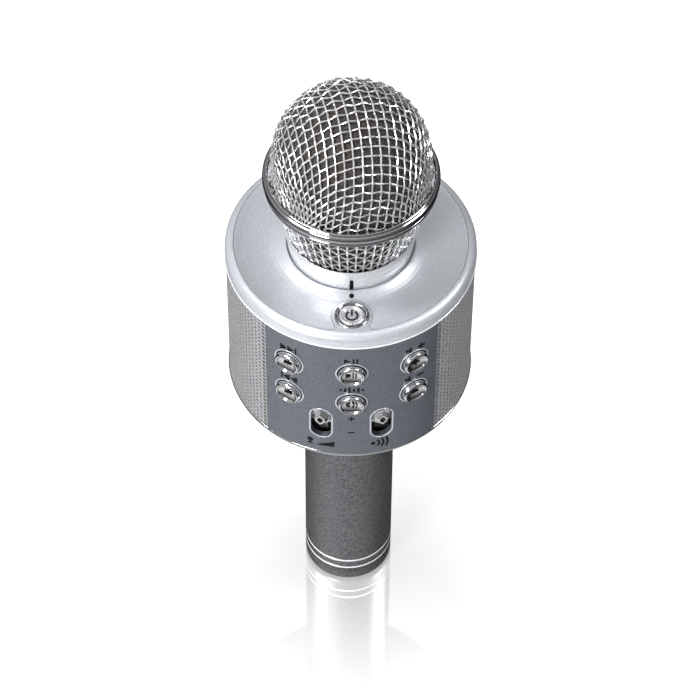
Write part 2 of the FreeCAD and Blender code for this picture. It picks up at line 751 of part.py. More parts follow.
def loudspeaker(side, quarter):
    """Frame, cone and magnet of one loudspeaker, facing out of the drum's side."""
    base = S.baffle_outer
    frame = new_body(f"speaker_frame_{side}")
    turned(frame, [
        (S.speaker_radius, base), (S.speaker_radius, base + 1.2), (15.8, base + 1.2),
        (15.8, base), (9.6, base - 8.4), (5.2, base - 8.4), (5.2, base - 9.2),
        (10.1, base - 9.2), (16.7, base)])
    diaphragm = new_body(f"speaker_cone_{side}")
    turned(diaphragm, [
        (0, base - 2.4), (2.5, base - 2.8), (4.9, base - 4.1), (14.0, base + 0.7),
        (15.7, base + 0.9), (15.7, base + 0.5), (14.1, base + 0.2), (5.2, base - 4.7),
        (4.7, base - 4.7), (4.7, base - 8.8), (4.4, base - 8.8), (4.4, base - 4.6),
        (2.4, base - 3.2), (0, base - 2.8)])
    magnet = new_body(f"speaker_magnet_{side}")
    turned(magnet, [(0, base - 16.0), (9.0, base - 16.0), (9.0, base - 9.2), (0, base - 9.2)])
    for body in (frame, diaphragm, magnet):
        body.Placement = FreeCAD.Placement(
            FreeCAD.Vector(0, 0, S.speaker_height.number),
            FreeCAD.Rotation(FreeCAD.Vector(0, 1, 0), quarter))
        bind(body, "Placement.Base.z", S.speaker_height)


def plate_board(label, face, half_width, low, high, screws, angle=0):
    """A circuit board whose front face looks out of the drum."""
    body = new_body(label)
    sketch = new_sketch(body, "XZ_Plane", face)
    draw_rectangle(sketch, -as_size(half_width), low, half_width, high)
    for across, height in screws:
        draw_circle(sketch, across, height, S.pilot_radius)
    pad(body, sketch, S.board_thickness, reverse=True)
    body.Placement = FreeCAD.Placement(
        FreeCAD.Vector(0, 0, 0),
        FreeCAD.Rotation(FreeCAD.Vector(0, 0, 1), as_size(angle).number))


def circuit_boards():
    plate_board("control_board", S.control_board_face, 13.2, 113.0, 156.6,
                CONTROL_BOARD_SCREWS)
    for label, angle in (("key_board_left", -S.column_angle), ("key_board_right", S.column_angle)):
        plate_board(label, S.key_board_face, 5.5, 125.6, 159.8, KEY_BOARD_SCREWS, angle)

    power = new_body("power_switch_board")
    sketch = new_sketch(power, "XY_Plane", S.power_board_low)
    draw_rectangle(sketch, -8.8, -S.power_distance - 3.4, 8.8, -S.power_distance + 3.4)
    for x in POWER_BOARD_SCREWS:
        draw_circle(sketch, x, -S.power_distance, S.pilot_radius)
    pad(power, sketch, S.board_thickness)

    main = new_body("main_board")
    sketch = new_sketch(main, "YZ_Plane", -(S.board_side + S.board_thickness))
    draw_rectangle(sketch, -18.4, 125.6, 31.0, 157.8)
    for along, height in MAIN_BOARD_SCREWS:
        draw_circle(sketch, along, height, S.pilot_radius)
    pad(main, sketch, S.board_thickness)


def tact_switches():
    """One square switch behind every button."""
    bodies = []
    for label, angle, height, face in PANEL_BUTTONS:
        body = helper_body("switch_" + label)
        sketch = new_sketch(body, "XY_Plane", face)
        half = S.switch_side / 2
        draw_rectangle(sketch, -half, -half, half, half)
        pad(body, sketch, S.switch_height)
        place_out(body, angle, height)
        bodies.append(body)
    power = helper_body("switch_power")
    sketch = new_sketch(power, "XY_Plane", S.power_board_low + S.board_thickness)
    half = S.switch_side / 2
    draw_rectangle(sketch, -half, -S.power_distance - half, half, -S.power_distance + half)
    pad(power, sketch, S.switch_height)
    bodies.append(power)
    group("tact_switches", bodies)


def slide_faders():
    """Slide potentiometers behind the two slots, open along the middle for the knob's stem."""
    for label, side in (("mic_volume_fader", -1), ("echo_fader", 1)):
        body = new_body(label)
        outline = new_sketch(body, "XZ_Plane", S.control_board_face)
        draw_rectangle(outline, 8.8 * side - 3.2, 114.6, 8.8 * side + 3.2, 132.6)
        pad(body, outline, 3.4)
        groove = new_sketch(body, "XZ_Plane", S.control_board_face + 3.4)
        draw_rectangle(groove, 8.8 * side - 1.3, 116.4, 8.8 * side + 1.3, 131.0)
        pocket(body, groove, 2.6)


def bluetooth_module():
    body = new_body("bluetooth_module")
    sketch = new_sketch(body, "YZ_Plane", -S.board_side)
    draw_rectangle(sketch, -10.0, 138.0, 2.0, 152.0)
    pad(body, sketch, 1.8)


def audio_jack_socket():
    """A 3.5 mm socket on the main board, with its nose in the rear panel."""
    body = new_body("audio_jack_socket")
    block = new_sketch(body, "XZ_Plane", -25.0)
    side = S.board_side
    draw_rectangle(block, -side, S.jack_height - side, side, S.jack_height + side)
    pad(body, block, 12.3, reverse=True)
    nose = new_sketch(body, "XZ_Plane", -37.2)
    draw_circle(nose, 0, S.jack_height, 3.0)
    pad(body, nose, 2.5, reverse=True)
    bore = new_sketch(body, "XZ_Plane", -40.5)
    draw_circle(bore, 0, S.jack_height, S.jack_radius)
    pocket(body, bore, 14.8, reverse=True)


def open_shell(label, width, height, back, front, wall, depth):
    """A metal socket shell that stands on the main board, open towards the rear panel."""
    body = new_body(label)
    left = -S.board_side
    right = left + width
    low, high = height
    outline = new_sketch(body, "XZ_Plane", -back)
    draw_rectangle(outline, left, low, right, high)
    pad(body, outline, front - back, reverse=True)
    mouth = new_sketch(body, "XZ_Plane", -front - 0.5)
    draw_rectangle(mouth, left + wall, low + wall, right - wall, high - wall)
    pocket(body, mouth, depth + 0.5, reverse=True)


def sockets():
    open_shell("usb_socket", 2.6, (139.0, 147.0), 31.6, 39.0, 0.35, 6.0)
    open_shell("card_slot", 1.6, (149.6, 158.8), 24.0, 38.6, 0.2, 13.0)


def charge_led():
    body = new_body("charge_led")
    turned(body, [(0, 36.6), (1.6, 36.6), (1.6, 37.6), (1.15, 37.6), (1.15, 39.9), (0, 39.9)])
    place_out(body, 180, 122.5)


def case_screws():
    """Four screws that hold the rim down on the base's posts."""
    screws = []
    for x in (S.post_across, -S.post_across):
        for y in (S.post_along, -S.post_along):
            body = helper_body("case_screw")
            head = new_sketch(body, "XY_Plane", S.deck_high)
            draw_circle(head, x, y, 2.7)
            pad(body, head, 1.8)
            shank = new_sketch(body, "XY_Plane", S.deck_high)
            draw_circle(shank, x, y, S.screw_radius - 0.02)
            pad(body, shank, 14.0, reverse=True)
            screws.append(body)
    group("case_screws", screws)


def small_screw(under_head, across, grip):
    """A small screw along Z, with its head below the height given."""
    body = helper_body("small_screw")
    head = new_sketch(body, "XY_Plane", under_head - 1.0)
    draw_circle(head, across, 0, S.pilot_radius * 2)
    pad(body, head, 1.0)
    shank = new_sketch(body, "XY_Plane", under_head)
    draw_circle(shank, across, 0, S.pilot_radius - 0.02)
    pad(body, shank, grip)
    return body


def board_screws():
    """Small screws through the boards into the panel's posts, the deck and the chassis rails."""
    grip = S.board_thickness + S.small_screw_grip
    screws = []
    for angle, face, spots in (
            (as_size(0), S.control_board_face, CONTROL_BOARD_SCREWS),
            (-S.column_angle, S.key_board_face, KEY_BOARD_SCREWS),
            (S.column_angle, S.key_board_face, KEY_BOARD_SCREWS)):
        for across, height in spots:
            body = small_screw(face - S.board_thickness, across, grip)
            place_out(body, angle, as_size(height))
            screws.append(body)
    for along, height in MAIN_BOARD_SCREWS:
        body = small_screw(S.board_side, 0, S.board_thickness + 2.8)
        body.Placement = FreeCAD.Placement(
            FreeCAD.Vector(0, along, height), FreeCAD.Rotation(FreeCAD.Vector(0, 1, 0), -90))
        screws.append(body)
    for x in POWER_BOARD_SCREWS:
        body = small_screw(S.power_board_low, x, S.board_thickness + 2.6)
        body.Placement = FreeCAD.Placement(
            FreeCAD.Vector(0, -S.power_distance.number, 0), FreeCAD.Rotation())
        bind(body, "Placement.Base.y", -S.power_distance)
        screws.append(body)
    group("board_screws", screws)


# ---------------------------------------------------------------- controls

def round_buttons():
    for label, angle, height, face in PANEL_BUTTONS:
        body = new_body(label)
        tip = face + S.switch_height + S.switch_gap
        turned(body, [
            (0, tip), (1.5, tip), (1.5, 36.2), (S.button_flange, 36.2),
            (S.button_flange, 37.1), (S.button_radius, 37.1),
            (S.button_radius, S.button_face), (0, S.button_face)])
        round_ring(body, S.button_radius, S.button_face, 1.0)
        place_out(body, angle, height)


def slide_knobs():
    for label, angle in (("mic_volume_knob", -S.slot_angle), ("echo_knob", S.slot_angle)):
        body = new_body(label)
        flange = new_sketch(body, "XY_Plane", 36.5)
        draw_rectangle(flange, -4.0, -5.0, 4.0, 5.0)
        pad(body, flange, 0.9)
        cap = new_sketch(body, "XY_Plane", 37.0)
        draw_slot(cap, 0, 0, S.slot_width - 0.4, S.knob_height)
        pad(body, cap, S.knob_face - 37.0)
        stem = new_sketch(body, "XY_Plane", 33.9)
        draw_rectangle(stem, -0.6, -1.0, 0.6, 1.0)
        pad(body, stem, 3.0)
        place_out(body, angle, S.knob_middle)


def power_control():
    bezel = new_body("power_bezel")
    turned(bezel, [
        (S.power_radius + 0.12, 165.0), (S.bezel_radius, 165.0), (S.bezel_radius, 168.9),
        (S.power_radius + 0.12, 168.9)])
    round_ring(bezel, S.bezel_radius, 168.9, 0.5)
    round_ring(bezel, S.power_radius + 0.12, 168.9, 0.5)
    button = new_body("power_button")
    tip = S.power_board_low + S.board_thickness + S.switch_height + S.switch_gap
    turned(button, [
        (0, tip), (1.3, tip), (1.3, 164.0), (S.bezel_radius - 0.4, 164.0),
        (S.bezel_radius - 0.4, 164.8), (S.power_radius, 164.8), (S.power_radius, 168.7),
        (0, 168.7)])
    round_ring(button, S.power_radius, 168.7, 0.8)
    for body in (bezel, button):
        body.Placement = FreeCAD.Placement(
            FreeCAD.Vector(0, -S.power_distance.number, 0), FreeCAD.Rotation())
        bind(body, "Placement.Base.y", -S.power_distance)


# ---------------------------------------------------------------- head

def neck_socket():
    """Fixed half of the bayonet: a tube on the deck with three lugs."""
    body = new_body("neck_socket")
    turned(body, [
        (S.neck_bore, S.deck_high), (22.0, S.deck_high), (22.0, 164.3), (S.neck_radius, 164.3),
        (S.neck_radius, 174.4), (S.neck_bore, 174.4)])
    lug = turned(body, [
        (S.neck_radius - 0.5, S.lug_low), (S.lug_radius, S.lug_low),
        (S.lug_radius, S.lug_high), (S.neck_radius - 0.5, S.lug_high)], LUG_ANGLE)
    repeat_round(body, lug, LATCH_LUGS)


def neck_collar():
    """Turning half of the bayonet: the smooth ring at the foot of the ball."""
    body = new_body("neck_collar")
    turned(body, [
        (S.collar_bore, S.collar_foot), (20.0, S.collar_foot), (20.1, 170.0),
        (20.5, 174.0), (S.collar_outer, S.collar_top - 0.9), (S.collar_outer - 0.5, S.collar_top),
        (20.2, S.collar_top), (19.8, 173.4), (S.collar_bore, 173.4)])
    lip = turned(body, [
        (S.neck_radius + 0.15, 168.2), (S.collar_bore + 0.5, 168.2),
        (S.collar_bore + 0.5, S.lug_low - 0.2), (S.neck_radius + 0.15, S.lug_low - 0.2)],
        LIP_ANGLE)
    repeat_round(body, lip, LATCH_LUGS)
    mark = new_sketch(body, "XZ_Plane", 22.0)
    draw_slot(mark, 0, 171.0, 1.3, 5.0)
    pocket(body, mark, 2.4)


def lower_basket():
    """Woven wire cup between the collar and the hoop."""
    body = new_body("lower_basket")
    sheet = S.mesh_sheet
    outside = [(19.75, 173.5), (20.1, 176.5), (21.5, 181.0), (23.1, 187.0), (24.7, 193.5),
               (25.6, S.hoop_low + 0.8)]
    inside = [(radius - sheet, height) for radius, height in reversed(outside)]
    turned(body, outside + inside)


def hoop_ring():
    """Chrome hoop that clamps the dome and the basket together."""
    body = new_body("hoop_ring")
    low, high, outer = S.hoop_low, S.hoop_high, S.hoop_radius
    turned(body, [
        (25.7, low), (outer - 0.7, low), (outer - 0.25, low + 0.5), (outer - 0.25, low + 1.1),
        (outer - 0.6, low + 1.5), (outer - 0.15, low + 1.9), (outer, low + 2.9),
        (outer - 0.25, low + 4.1), (outer - 0.7, low + 4.6), (outer - 1.0, high),
        (25.8, high), (25.8, high - 0.8), (25.7, low + 1.0)])


def dome_shell(name, offset, low, low_radius):
    """Half a sphere on a short taper, moved inwards by an offset."""
    radius = S.dome_radius - offset
    ball = sphere(name + "_ball", radius, S.dome_middle)
    above = box(name + "_above", (-30.0, -30.0, S.dome_middle), (30.0, 30.0, 240.0))
    half = common(name + "_half", ball, above)
    foot = cone(name + "_foot", low_radius - offset, radius, low, S.dome_middle)
    return fuse(name, [half, foot])


def dome_mesh():
    low = S.hoop_high - 1.0
    outer = dome_shell("dome_outer", as_size(0), low, as_size(25.75))
    inner = dome_shell("dome_inner", S.mesh_sheet, low - 0.01, as_size(25.75))
    sub_part(cut("dome_mesh", outer, inner), "dome_mesh")


def foam_windscreen():
    """Foam that lines the dome and hangs down inside the basket."""
    gap = S.mesh_sheet + 0.35
    outer = dome_shell("foam_outer", gap, as_size(186.0), as_size(22.9))
    inner = dome_shell("foam_inner", gap + 4.5, as_size(185.9), as_size(22.9))
    sub_part(cut("foam_windscreen", outer, inner), "foam_windscreen")


def capsule():
    cradle = new_body("capsule_cradle")
    turned(cradle, [
        (0, 172.6), (S.neck_bore - 0.05, 172.6), (S.neck_bore - 0.05, 174.4), (16.6, 174.4),
        (16.6, 176.0), (11.6, 176.0), (11.6, 184.0), (9.6, 184.0), (9.6, 178.0), (0, 178.0)])
    pickup = new_body("mic_capsule")
    turned(pickup, [(0, 178.0), (9.55, 178.0), (9.55, 186.6), (0, 186.6)])
    round_ring(pickup, 9.55, 186.6, 0.8)


# ---------------------------------------------------------------- build and write

def build_all():
    handle_end_cap()
    handle_rings()
    battery()
    battery_wires()
    drum_base()
    bead_ring("bead_ring_lower", S.lower_bead)
    bead_ring("bead_ring_upper", S.upper_bead)
    drum_top_rim()
    top_cover()
    front_panel()
    rear_panel()
    grilles()
    chassis_frame()
    loudspeaker("right", 90)
    loudspeaker("left", -90)
    circuit_boards()
    tact_switches()
    slide_faders()
    bluetooth_module()
    audio_jack_socket()
    sockets()
    charge_led()
    case_screws()
    board_screws()
    round_buttons()
    slide_knobs()
    power_control()
    neck_socket()
    neck_collar()
    lower_basket()
    hoop_ring()
    dome_mesh()
    foam_windscreen()
    capsule()
    doc.recompute()


def check_all():
    for thing in doc.Objects:
        if "Invalid" in thing.State or "Error" in thing.State:
            raise RuntimeError(f"{thing.Label} failed to recompute")
    for thing in SUB_PARTS:
        if thing.Shape.isNull() or not thing.Shape.isValid() or not thing.Shape.Solids:
            raise RuntimeError(f"{thing.Label} has no valid solid")


def write_all():
    for thing in SUB_PARTS:
        thing.Shape.exportStep(os.path.join("parts", thing.Label + ".step"))
        count = len(thing.Shape.Solids)
        print(f"{thing.Label:26s} {count:2d} solid(s) {thing.Shape.Volume / 1000:8.2f} cm3")


build_all()
check_all()
write_all()
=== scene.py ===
import math

import bmesh
import bpy
import numpy as np
from mathutils import Matrix, Vector


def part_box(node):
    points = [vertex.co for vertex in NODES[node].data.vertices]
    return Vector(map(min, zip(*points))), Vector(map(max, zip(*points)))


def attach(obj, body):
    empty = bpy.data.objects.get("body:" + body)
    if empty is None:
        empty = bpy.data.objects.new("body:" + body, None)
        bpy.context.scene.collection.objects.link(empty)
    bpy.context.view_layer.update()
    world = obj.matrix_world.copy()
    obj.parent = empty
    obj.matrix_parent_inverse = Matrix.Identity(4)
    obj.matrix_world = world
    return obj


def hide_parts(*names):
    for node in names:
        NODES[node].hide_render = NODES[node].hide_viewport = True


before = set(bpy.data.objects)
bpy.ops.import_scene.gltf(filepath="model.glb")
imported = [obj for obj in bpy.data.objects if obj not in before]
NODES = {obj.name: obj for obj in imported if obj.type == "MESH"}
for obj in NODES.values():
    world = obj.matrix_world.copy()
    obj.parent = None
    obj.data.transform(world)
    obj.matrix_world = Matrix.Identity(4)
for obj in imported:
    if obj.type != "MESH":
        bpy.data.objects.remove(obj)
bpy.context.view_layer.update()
MM = 0.001

# ------------ places read from the frame

def low(node):
    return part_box(node)[0] / MM


def high(node):
    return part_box(node)[1] / MM


DRUM_RADIUS = high("drum_top_rim").x
HOOP_RADIUS = high("hoop_ring").x
HOOP_LOW = low("hoop_ring").z
HOOP_HIGH = high("hoop_ring").z
DOME_TOP = high("dome_mesh").z
FOAM_LOW = low("foam_windscreen").z
GRILLE_LOW = low("grille_right").z
GRILLE_HIGH = high("grille_right").z
GRILLE_RADIUS = high("grille_right").x
POWER_MIDDLE = (low("power_button") + high("power_button")) / 2
POWER_FACE = high("power_button").z
BUTTON_RADIUS = 4.35
BUTTON_FLANGE = 5.4
BUTTON_FACE = -low("button_play_pause").y
KNOB_FACE = 41.3
DOME_RADIUS = 25.1
DOME_MIDDLE = DOME_TOP - DOME_RADIUS
WIRE = 0.56
ROW_LIFT = 0.46
COLUMN_LIFT = 0.18
WIRE_SIDES = 8
PITCH = 2.85
NET_RADIUS = DOME_RADIUS - ROW_LIFT - WIRE / 2


def angle_of(node):
    """Angle of a node's middle round the drum, from -Y towards +X, in degrees."""
    middle = (low(node) + high(node)) / 2
    return math.degrees(math.atan2(middle.x, -middle.y))


def height_of(node):
    return (low(node).z + high(node).z) / 2


# ------------ materials

def new_material(name):
    material = bpy.data.materials.new(name)
    material.use_nodes = True
    tree = material.node_tree
    shader = tree.nodes["Principled BSDF"]
    place = tree.nodes.new("ShaderNodeTexCoord")
    return material, tree, shader, place


def add(tree, kind, inputs=None, **settings):
    """Add a shader node. Each input takes a constant, or the socket that it is linked to."""
    new = tree.nodes.new("ShaderNode" + kind)
    for name, value in settings.items():
        setattr(new, name, value)
    for socket, value in (inputs or {}).items():
        if isinstance(value, bpy.types.NodeSocket):
            tree.links.new(value, new.inputs[socket])
        else:
            new.inputs[socket].default_value = value
    return new


def noise(tree, place, scale, detail, rough=0.5):
    return add(tree, "TexNoise", {"Scale": scale, "Detail": detail, "Roughness": rough,
                                  "Vector": place.outputs["Object"]}).outputs["Fac"]


def spread(tree, value, lowest, highest, start=0.3, end=0.7):
    """Map a value from start..end, a noise's middle range unless given, to lowest..highest."""
    return add(tree, "MapRange", {"Value": value, "From Min": start, "From Max": end,
                                  "To Min": lowest, "To Max": highest}).outputs["Result"]


def two_tone(tree, factor, first, second):
    return add(tree, "Mix", {"Factor": factor, "A": (*first, 1), "B": (*second, 1)},
               data_type="RGBA").outputs["Result"]


def bump(tree, shader, value, distance, before=None):
    inputs = {"Distance": distance, "Strength": 1.0, "Height": value}
    if before:
        inputs["Normal"] = before
    normal = add(tree, "Bump", inputs).outputs["Normal"]
    tree.links.new(normal, shader.inputs["Normal"])
    return normal


def coated(name, dark, light, metallic, rough, grain, depth, coat=0.0, patch=60.0):
    """Paint, plating or moulded plastic: two close shades by a fine grain, uneven gloss, low bump."""
    material, tree, shader, place = new_material(name)
    fine = noise(tree, place, grain, 2.0)
    broad = noise(tree, place, patch, 4.0)
    tree.links.new(two_tone(tree, spread(tree, fine, 0, 1), dark, light), shader.inputs["Base Color"])
    tree.links.new(spread(tree, broad, rough[0], rough[1]), shader.inputs["Roughness"])
    bump(tree, shader, fine, depth)
    shader.inputs["Metallic"].default_value = metallic
    shader.inputs["Coat Weight"].default_value = coat
    shader.inputs["Coat Roughness"].default_value = 0.12
    return material


def grey(value, blue=0.0):
    return (value, value * (1 + blue * 0.4), value * (1 + blue))


FINISH = {
    "silver": coated("silver_paint", grey(0.52, 0.12), grey(0.68, 0.10), 0.5, (0.30, 0.38),
                     2400, 0.00002, coat=0.15),
    "collar": coated("bright_silver_paint", grey(0.84, 0.04), grey(0.92, 0.04), 0.6, (0.22, 0.30),
                     5200, 0.00001, coat=0.35),
    "base": coated("base_paint", grey(0.30, 0.07), grey(0.40, 0.07), 0.55, (0.34, 0.42),
                   5200, 0.00002, coat=0.15),
    "panel": coated("panel_paint", grey(0.070, 0.34), grey(0.142, 0.28), 0.36, (0.36, 0.44),
                    2400, 0.00002, coat=0.1),
    "grille": coated("grille_paint", grey(0.36, 0.04), grey(0.50, 0.04), 0.5, (0.32, 0.42),
                     3000, 0.00001),
    "handle": coated("handle_paint", grey(0.05, 0.14), grey(0.21, 0.05), 0.6, (0.32, 0.44),
                     1900, 0.00006),
    "chrome": coated("chrome_plate", grey(0.80, 0.01), grey(0.86, 0.01), 1.0, (0.05, 0.10),
                     900, 0.000002, patch=220),
    "hoop_plate": coated("hoop_plate", grey(0.44, 0.02), grey(0.52, 0.02), 1.0, (0.05, 0.09),
                         900, 0.000002, patch=220),
    "satin": coated("satin_plate", grey(0.60, 0.03), grey(0.70, 0.03), 0.7, (0.22, 0.30),
                    3000, 0.00001, patch=220),
    # painted reflection: the plated trim rings and upper bead get a near-white satin paint that stays
    # bright, standing in for the bright reflection of plating
    "white_satin_painted_reflection": coated("white_satin_painted_reflection", grey(0.84, 0.03), grey(0.92, 0.03), 0.25, (0.20, 0.28),
                          900, 0.000002, coat=0.3, patch=220),
    "wire": coated("plated_wire", grey(0.90, 0.01), grey(0.97, 0.01), 0.85, (0.24, 0.34),
                   1800, 0.00001, patch=400),
    "black": coated("black_plastic", grey(0.012), grey(0.022), 0.0, (0.45, 0.6), 4000, 0.00003),
    "board": coated("solder_mask", (0.006, 0.05, 0.022), (0.01, 0.085, 0.04), 0.0, (0.25, 0.4),
                    1500, 0.00001, coat=0.5),
    "steel": coated("steel", grey(0.50), grey(0.62), 1.0, (0.28, 0.42), 2600, 0.00001),
    "cone_paper": coated("pressed_paper", grey(0.02), grey(0.045), 0.0, (0.75, 0.9), 1400, 0.00006),
    "cell": coated("cell_sleeve", (0.02, 0.10, 0.34), (0.03, 0.13, 0.40), 0.0, (0.2, 0.3),
                   900, 0.00001, coat=0.4),
    "rubber": coated("rubber", grey(0.015), grey(0.03), 0.0, (0.7, 0.85), 2500, 0.00003),
    "print": coated("printed_ink", grey(0.004, 0.3), grey(0.009, 0.3), 0.0, (0.55, 0.7), 6000, 0.00001),
    "cloth": coated("dust_cloth", grey(0.008), grey(0.026), 0.0, (0.8, 0.95), 2600, 0.0001),
    "lens": coated("lamp_lens", (0.7, 0.75, 0.72), (0.8, 0.84, 0.8), 0.0, (0.15, 0.25), 1200, 0.00001),
}


def foam_material():
    """Open-cell foam: small dark pores between lighter ribs."""
    material, tree, shader, place = new_material("open_cell_foam")
    cells = add(tree, "TexVoronoi", {"Scale": 1500, "Vector": place.outputs["Object"]})
    broad = noise(tree, place, 260, 5.0, 0.65)
    ribs = spread(tree, cells.outputs["Distance"], 0, 1, 0.15, 0.6)
    colour = two_tone(tree, ribs, (0.010, 0.008, 0.007), (0.050, 0.040, 0.034))
    tree.links.new(colour, shader.inputs["Base Color"])
    tree.links.new(spread(tree, broad, 0.85, 1.0), shader.inputs["Roughness"])
    first = bump(tree, shader, broad, 0.0004)
    bump(tree, shader, cells.outputs["Distance"], 0.0004, first)
    shader.inputs["Sheen Weight"].default_value = 0.15
    return material


def dome_wire():
    """Wire colour painted bright on the outer crown of each bend and painted dark down in the weave: a
    painted highlight on the crowns and painted shade between the wires.
    """
    material, tree, shader, place = new_material("dome_wire")
    fine = noise(tree, place, 1800, 2.0)
    broad = noise(tree, place, 400, 4.0)
    middle = DOME_MIDDLE * MM
    above = add(tree, "VectorMath", {0: place.outputs["Object"], 1: (-1, -1, middle)},
                operation="MAXIMUM")
    reach = add(tree, "VectorMath", {0: above.outputs["Vector"], 1: (0, 0, middle)},
                operation="DISTANCE")
    # painted highlight and shade: the colour runs from dark to bright with the distance from the dome's
    # middle, so the wires' inner sides read as shaded
    painted_crown_highlight = spread(tree, reach.outputs["Value"], 0, 1,
                   (NET_RADIUS - 0.5) * MM, (NET_RADIUS + 0.1) * MM)
    colour = two_tone(tree, painted_crown_highlight, grey(0.36, 0.01), grey(0.97, 0.01))
    tree.links.new(colour, shader.inputs["Base Color"])
    tree.links.new(spread(tree, broad, 0.20, 0.30), shader.inputs["Roughness"])
    bump(tree, shader, fine, 0.00001)
    shader.inputs["Metallic"].default_value = 0.85
    return material


FINISH["foam"] = foam_material()
FINISH["dome_wire"] = dome_wire()
FINISH["print"].node_tree.nodes["Principled BSDF"].inputs["Specular IOR Level"].default_value = 0.12

CAD_FINISH = {
    "silver": ["drum_top_rim", "top_cover"],
    "collar": ["neck_collar"],
    "panel": ["front_panel", "rear_panel"],
    "hoop_plate": ["power_bezel"],
    "black": ["chassis_frame", "battery_sleeve", "neck_socket", "tact_switches",
              "audio_jack_socket", "capsule_cradle", "speaker_frame_left",
              "speaker_frame_right"],
    "board": ["main_board", "control_board", "key_board_left", "key_board_right",
              "power_switch_board", "battery_protection_board"],
    "steel": ["usb_socket", "card_slot", "bluetooth_module", "mic_volume_fader", "echo_fader",
              "case_screws", "board_screws", "mic_capsule", "speaker_magnet_left",
              "speaker_magnet_right"],
    "cone_paper": ["speaker_cone_left", "speaker_cone_right"],
    "cell": ["battery_cell"],
    "rubber": ["battery_pad", "battery_wires"],
    "lens": ["charge_led"],
}
for finish, names in CAD_FINISH.items():
    for node_name in names:
        for entry in NODES[node_name].material_slots:
            entry.material = FINISH[finish]

# ------------ mesh helpers

def make_piece(name, shape, finish, body, slot, replaces=(), sharp=35.0):
    """A shape in millimetres becomes a piece that rides on a body."""
    mesh = bpy.data.meshes.new(name)
    mesh.from_pydata([Vector(p) * MM for p in shape.points], [], shape.faces)
    mesh.validate()
    work = bmesh.new()
    work.from_mesh(mesh)
    bmesh.ops.remove_doubles(work, verts=work.verts, dist=0.000001)
    bmesh.ops.recalc_face_normals(work, faces=work.faces)
    work.to_mesh(mesh)
    work.free()
    mesh.polygons.foreach_set("use_smooth", [True] * len(mesh.polygons))
    mesh.set_sharp_from_angle(angle=math.radians(sharp))
    mesh.materials.append(FINISH[finish])
    piece = bpy.data.objects.new(name, mesh)
    bpy.context.scene.collection.objects.link(piece)
    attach(piece, body)
    if replaces:
        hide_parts(*replaces)
    return piece


class Shape:
    """Points and faces that are gathered before they become one piece."""

    def __init__(self):
        self.points = []
        self.faces = []

    def add(self, points, faces):
        start = len(self.points)
        self.points.extend(tuple(p) for p in points)
        self.faces.extend(tuple(start + i for i in face) for face in faces)

    def moved(self, change):
        self.points = [change(p) for p in self.points]
        return self


def lathe(profile, count=160, closed=True):
    """Revolve a (radius, height) outline about Z. A closed outline is joined end to end."""
    points = []
    for step in range(count):
        turn = 2 * math.pi * step / count
        points += [(r * math.cos(turn), r * math.sin(turn), h) for r, h in profile]
    size = len(profile)
    faces = []
    for step in range(count):
        here, there = step * size, (step + 1) % count * size
        for k in range(size if closed else size - 1):
            n = (k + 1) % size
            faces.append((here + k, there + k, there + n, here + n))
    shape = Shape()
    shape.add(points, faces)
    return shape


def smooth_line(corners, steps=4):
    """Catmull-Rom points through 2-D or 3-D corners."""
    corners = np.array(corners, float)
    padded = np.vstack([2 * corners[0] - corners[1], corners, 2 * corners[-1] - corners[-2]])
    line = []
    for a, b, c, d in zip(padded, padded[1:], padded[2:], padded[3:]):
        for step in range(steps):
            t = step / steps
            line.append(0.5 * (2 * b + (c - a) * t + (2 * a - 5 * b + 4 * c - d) * t * t
                               + (3 * b - a - 3 * c + d) * t ** 3))
    line.append(corners[-1])
    return np.array(line)


def skin(shape, points, sides, loop=False):
    """Join rings of points, given one after another. A loop joins up, other rows get two ends."""
    rings = len(points) // sides
    faces = []
    for ring in range(rings if loop else rings - 1):
        here, there = ring * sides, (ring + 1) % rings * sides
        for k in range(sides):
            n = (k + 1) % sides
            faces.append((here + k, here + n, there + n, there + k))
    if not loop:
        last = (rings - 1) * sides
        faces += [tuple(range(sides - 1, -1, -1)), tuple(range(last, last + sides))]
    shape.add(points, faces)


def unit(vectors):
    return vectors / np.linalg.norm(vectors, axis=-1, keepdims=True)


def ring_round(place, direction, side, radius):
    """The points of a wire's section, square to its direction."""
    other = np.cross(direction, side)
    turns = [2 * math.pi * k / WIRE_SIDES for k in range(WIRE_SIDES)]
    return [place + radius * (math.cos(t) * side + math.sin(t) * other) for t in turns]


def tube(shape, line, radius):
    """Add a round wire along a line of points, closed at both ends."""
    line = np.array(line)
    along = unit(np.gradient(line, axis=0))
    side = unit(np.cross(along[0], (0.31, 0.27, 0.91)))
    points = []
    for place, direction in zip(line, along):
        side = unit(side - direction * (side @ direction))
        points += ring_round(place, direction, side, radius)
    skin(shape, points, WIRE_SIDES)


def loop_tube(shape, line, radius, upright=(0, 0, 1)):
    """Add a round wire along a closed line of points that never runs along upright."""
    line = np.array(line)
    along = unit(np.roll(line, -1, axis=0) - np.roll(line, 1, axis=0))
    points = []
    for place, direction in zip(line, along):
        side = unit(np.cross(direction, upright))
        points += ring_round(place, direction, side, radius)
    skin(shape, points, WIRE_SIDES, loop=True)


def out_of_drum(angle, height):
    """Local (right, up, outwards) millimetres at an angle round the drum, as a change of place."""
    turn = math.radians(angle)
    right = Vector((math.cos(turn), math.sin(turn), 0))
    outward = Vector((math.sin(turn), -math.cos(turn), 0))
    lift = Vector((0, 0, height))

    def change(point):
        return tuple(right * point[0] + Vector((0, 0, point[1])) + outward * point[2] + lift)

    return change


def wrapped(angle, height, flip=1):
    """Local (right, up, distance from the axis) laid round the drum."""

    def change(point):
        turn = math.radians(angle) + point[0] / DRUM_RADIUS
        return (math.sin(turn) * point[2] * flip, -math.cos(turn) * point[2] * flip,
                height + point[1])

    return change


